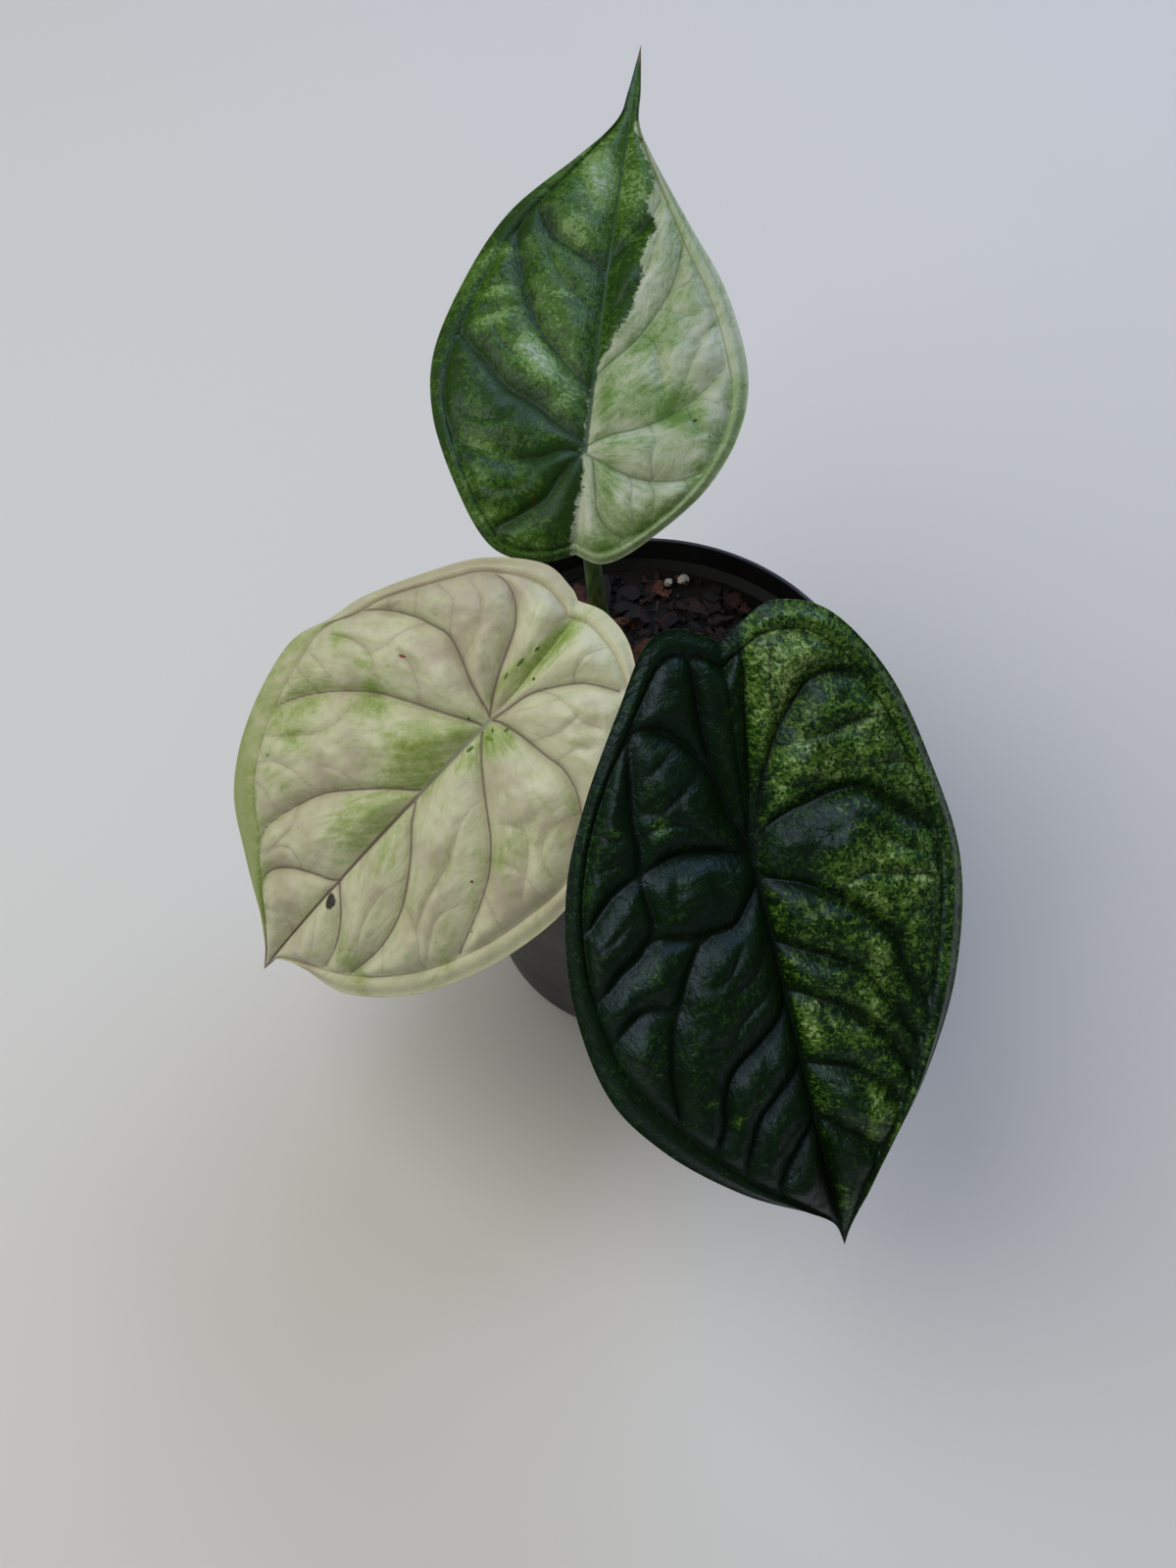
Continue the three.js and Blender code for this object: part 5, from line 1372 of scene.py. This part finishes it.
# Corm: the frame's own solid stays, with a corky, fibrous brown skin
def cormSurface():
    surface, tree = newSurface("cormBark")
    place = addNode(tree, "ShaderNodeTexCoord", {"out": "Object"}, {})
    rings = addNode(tree, "ShaderNodeVectorMath", times, {0: place, 1: (120, 120, 900)})
    rings = addNode(tree, "ShaderNodeTexNoise", {}, {
        "Vector": rings, "Scale": 1.0, "Detail": 5.0, "Roughness": 0.6})
    colour = addNode(tree, "ShaderNodeValToRGB", {"ramp": [
        (0.35, "#4a3322"), (0.6, "#876647"), (0.8, "#b79a74")]}, {"Fac": rings})
    bump = addNode(tree, "ShaderNodeBump", {}, {"Height": rings, "Strength": 0.6, "Distance": 0.0006})
    body = addNode(tree, "ShaderNodeBsdfPrincipled", {}, {
        "Base Color": colour, "Roughness": 0.8, "Normal": bump})
    addNode(tree, "ShaderNodeOutputMaterial", {}, {"Surface": body})
    return surface


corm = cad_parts["corm_and_roots"]
corm.data.materials.clear()
corm.data.materials.append(cormSurface())


# Floor, soft studio light and the camera above and in front

studio = {
    "floorHalfWidth": 3.0,
    "floorColour": "#dddbd6",
    "world": "#dcdad6",
    "worldStrength": 0.16,
    "camera": (-0.0129, -0.25085, 0.4946),
    "cameraTilt": 30.0,
    "lens": 50,
    "aim": (0, 0, 0.12),  # what the lights point at
    "lights": [("softboxAbove", (-0.5, -0.1, 1.0), 0.9, 7.6, "#fffdf8"),
               ("windowBehind", (0.42, 0.65, 0.8), 0.7, 5.8, "#c6d8fd")],
}


# Painted studio floor: matt, with the faint grain that a roller leaves
def floorSurface():
    surface, tree = newSurface("matFloorPaint")
    place = addNode(tree, "ShaderNodeTexCoord", {"out": "Object"}, {})
    grain = addNode(tree, "ShaderNodeTexNoise", {}, {"Vector": place, "Scale": 40.0, "Detail": 3.0})
    bump = addNode(tree, "ShaderNodeBump", {}, {"Height": grain, "Strength": 0.02, "Distance": 0.001})
    body = addNode(tree, "ShaderNodeBsdfPrincipled", {}, {
        "Base Color": studio["floorColour"], "Roughness": 0.75, "Normal": bump})
    addNode(tree, "ShaderNodeOutputMaterial", {}, {"Surface": body})
    return surface


bpy.ops.object.select_all(action="DESELECT")
bpy.ops.mesh.primitive_plane_add(size=2 * studio["floorHalfWidth"], location=(0, 0, 0))
floor = bpy.context.object
floor.name = floor.data.name = "studioFloor"
floor.data.materials.append(floorSurface())

world = bpy.data.worlds.new("softStudio")
scene.world = world
world.use_nodes = True
sky = world.node_tree.nodes["Background"].inputs
sky["Color"].default_value = hexToLinear(studio["world"])
sky["Strength"].default_value = studio["worldStrength"]


def addLight(name, place, size, power, colour):
    data = bpy.data.lights.new(name, "AREA")
    data.shape = "DISK"
    data.size = size
    data.energy = power
    data.color = hexToLinear(colour)[:3]
    light = bpy.data.objects.new(name, data)
    scene.collection.objects.link(light)
    light.location = place
    light.rotation_euler = (Vector(studio["aim"]) - Vector(place)).to_track_quat("-Z", "Y").to_euler()


for light in studio["lights"]:
    addLight(*light)

cameraData = bpy.data.cameras.new("photoAngle")
cameraData.lens = studio["lens"]
cameraData.clip_start = 0.01
camera = bpy.data.objects.new("photoAngle", cameraData)
scene.collection.objects.link(camera)
camera.location = studio["camera"]
camera.rotation_euler = (math.radians(studio["cameraTilt"]), 0, 0)
scene.camera = camera
scene.view_settings.view_transform = "Standard"
print("studio done")
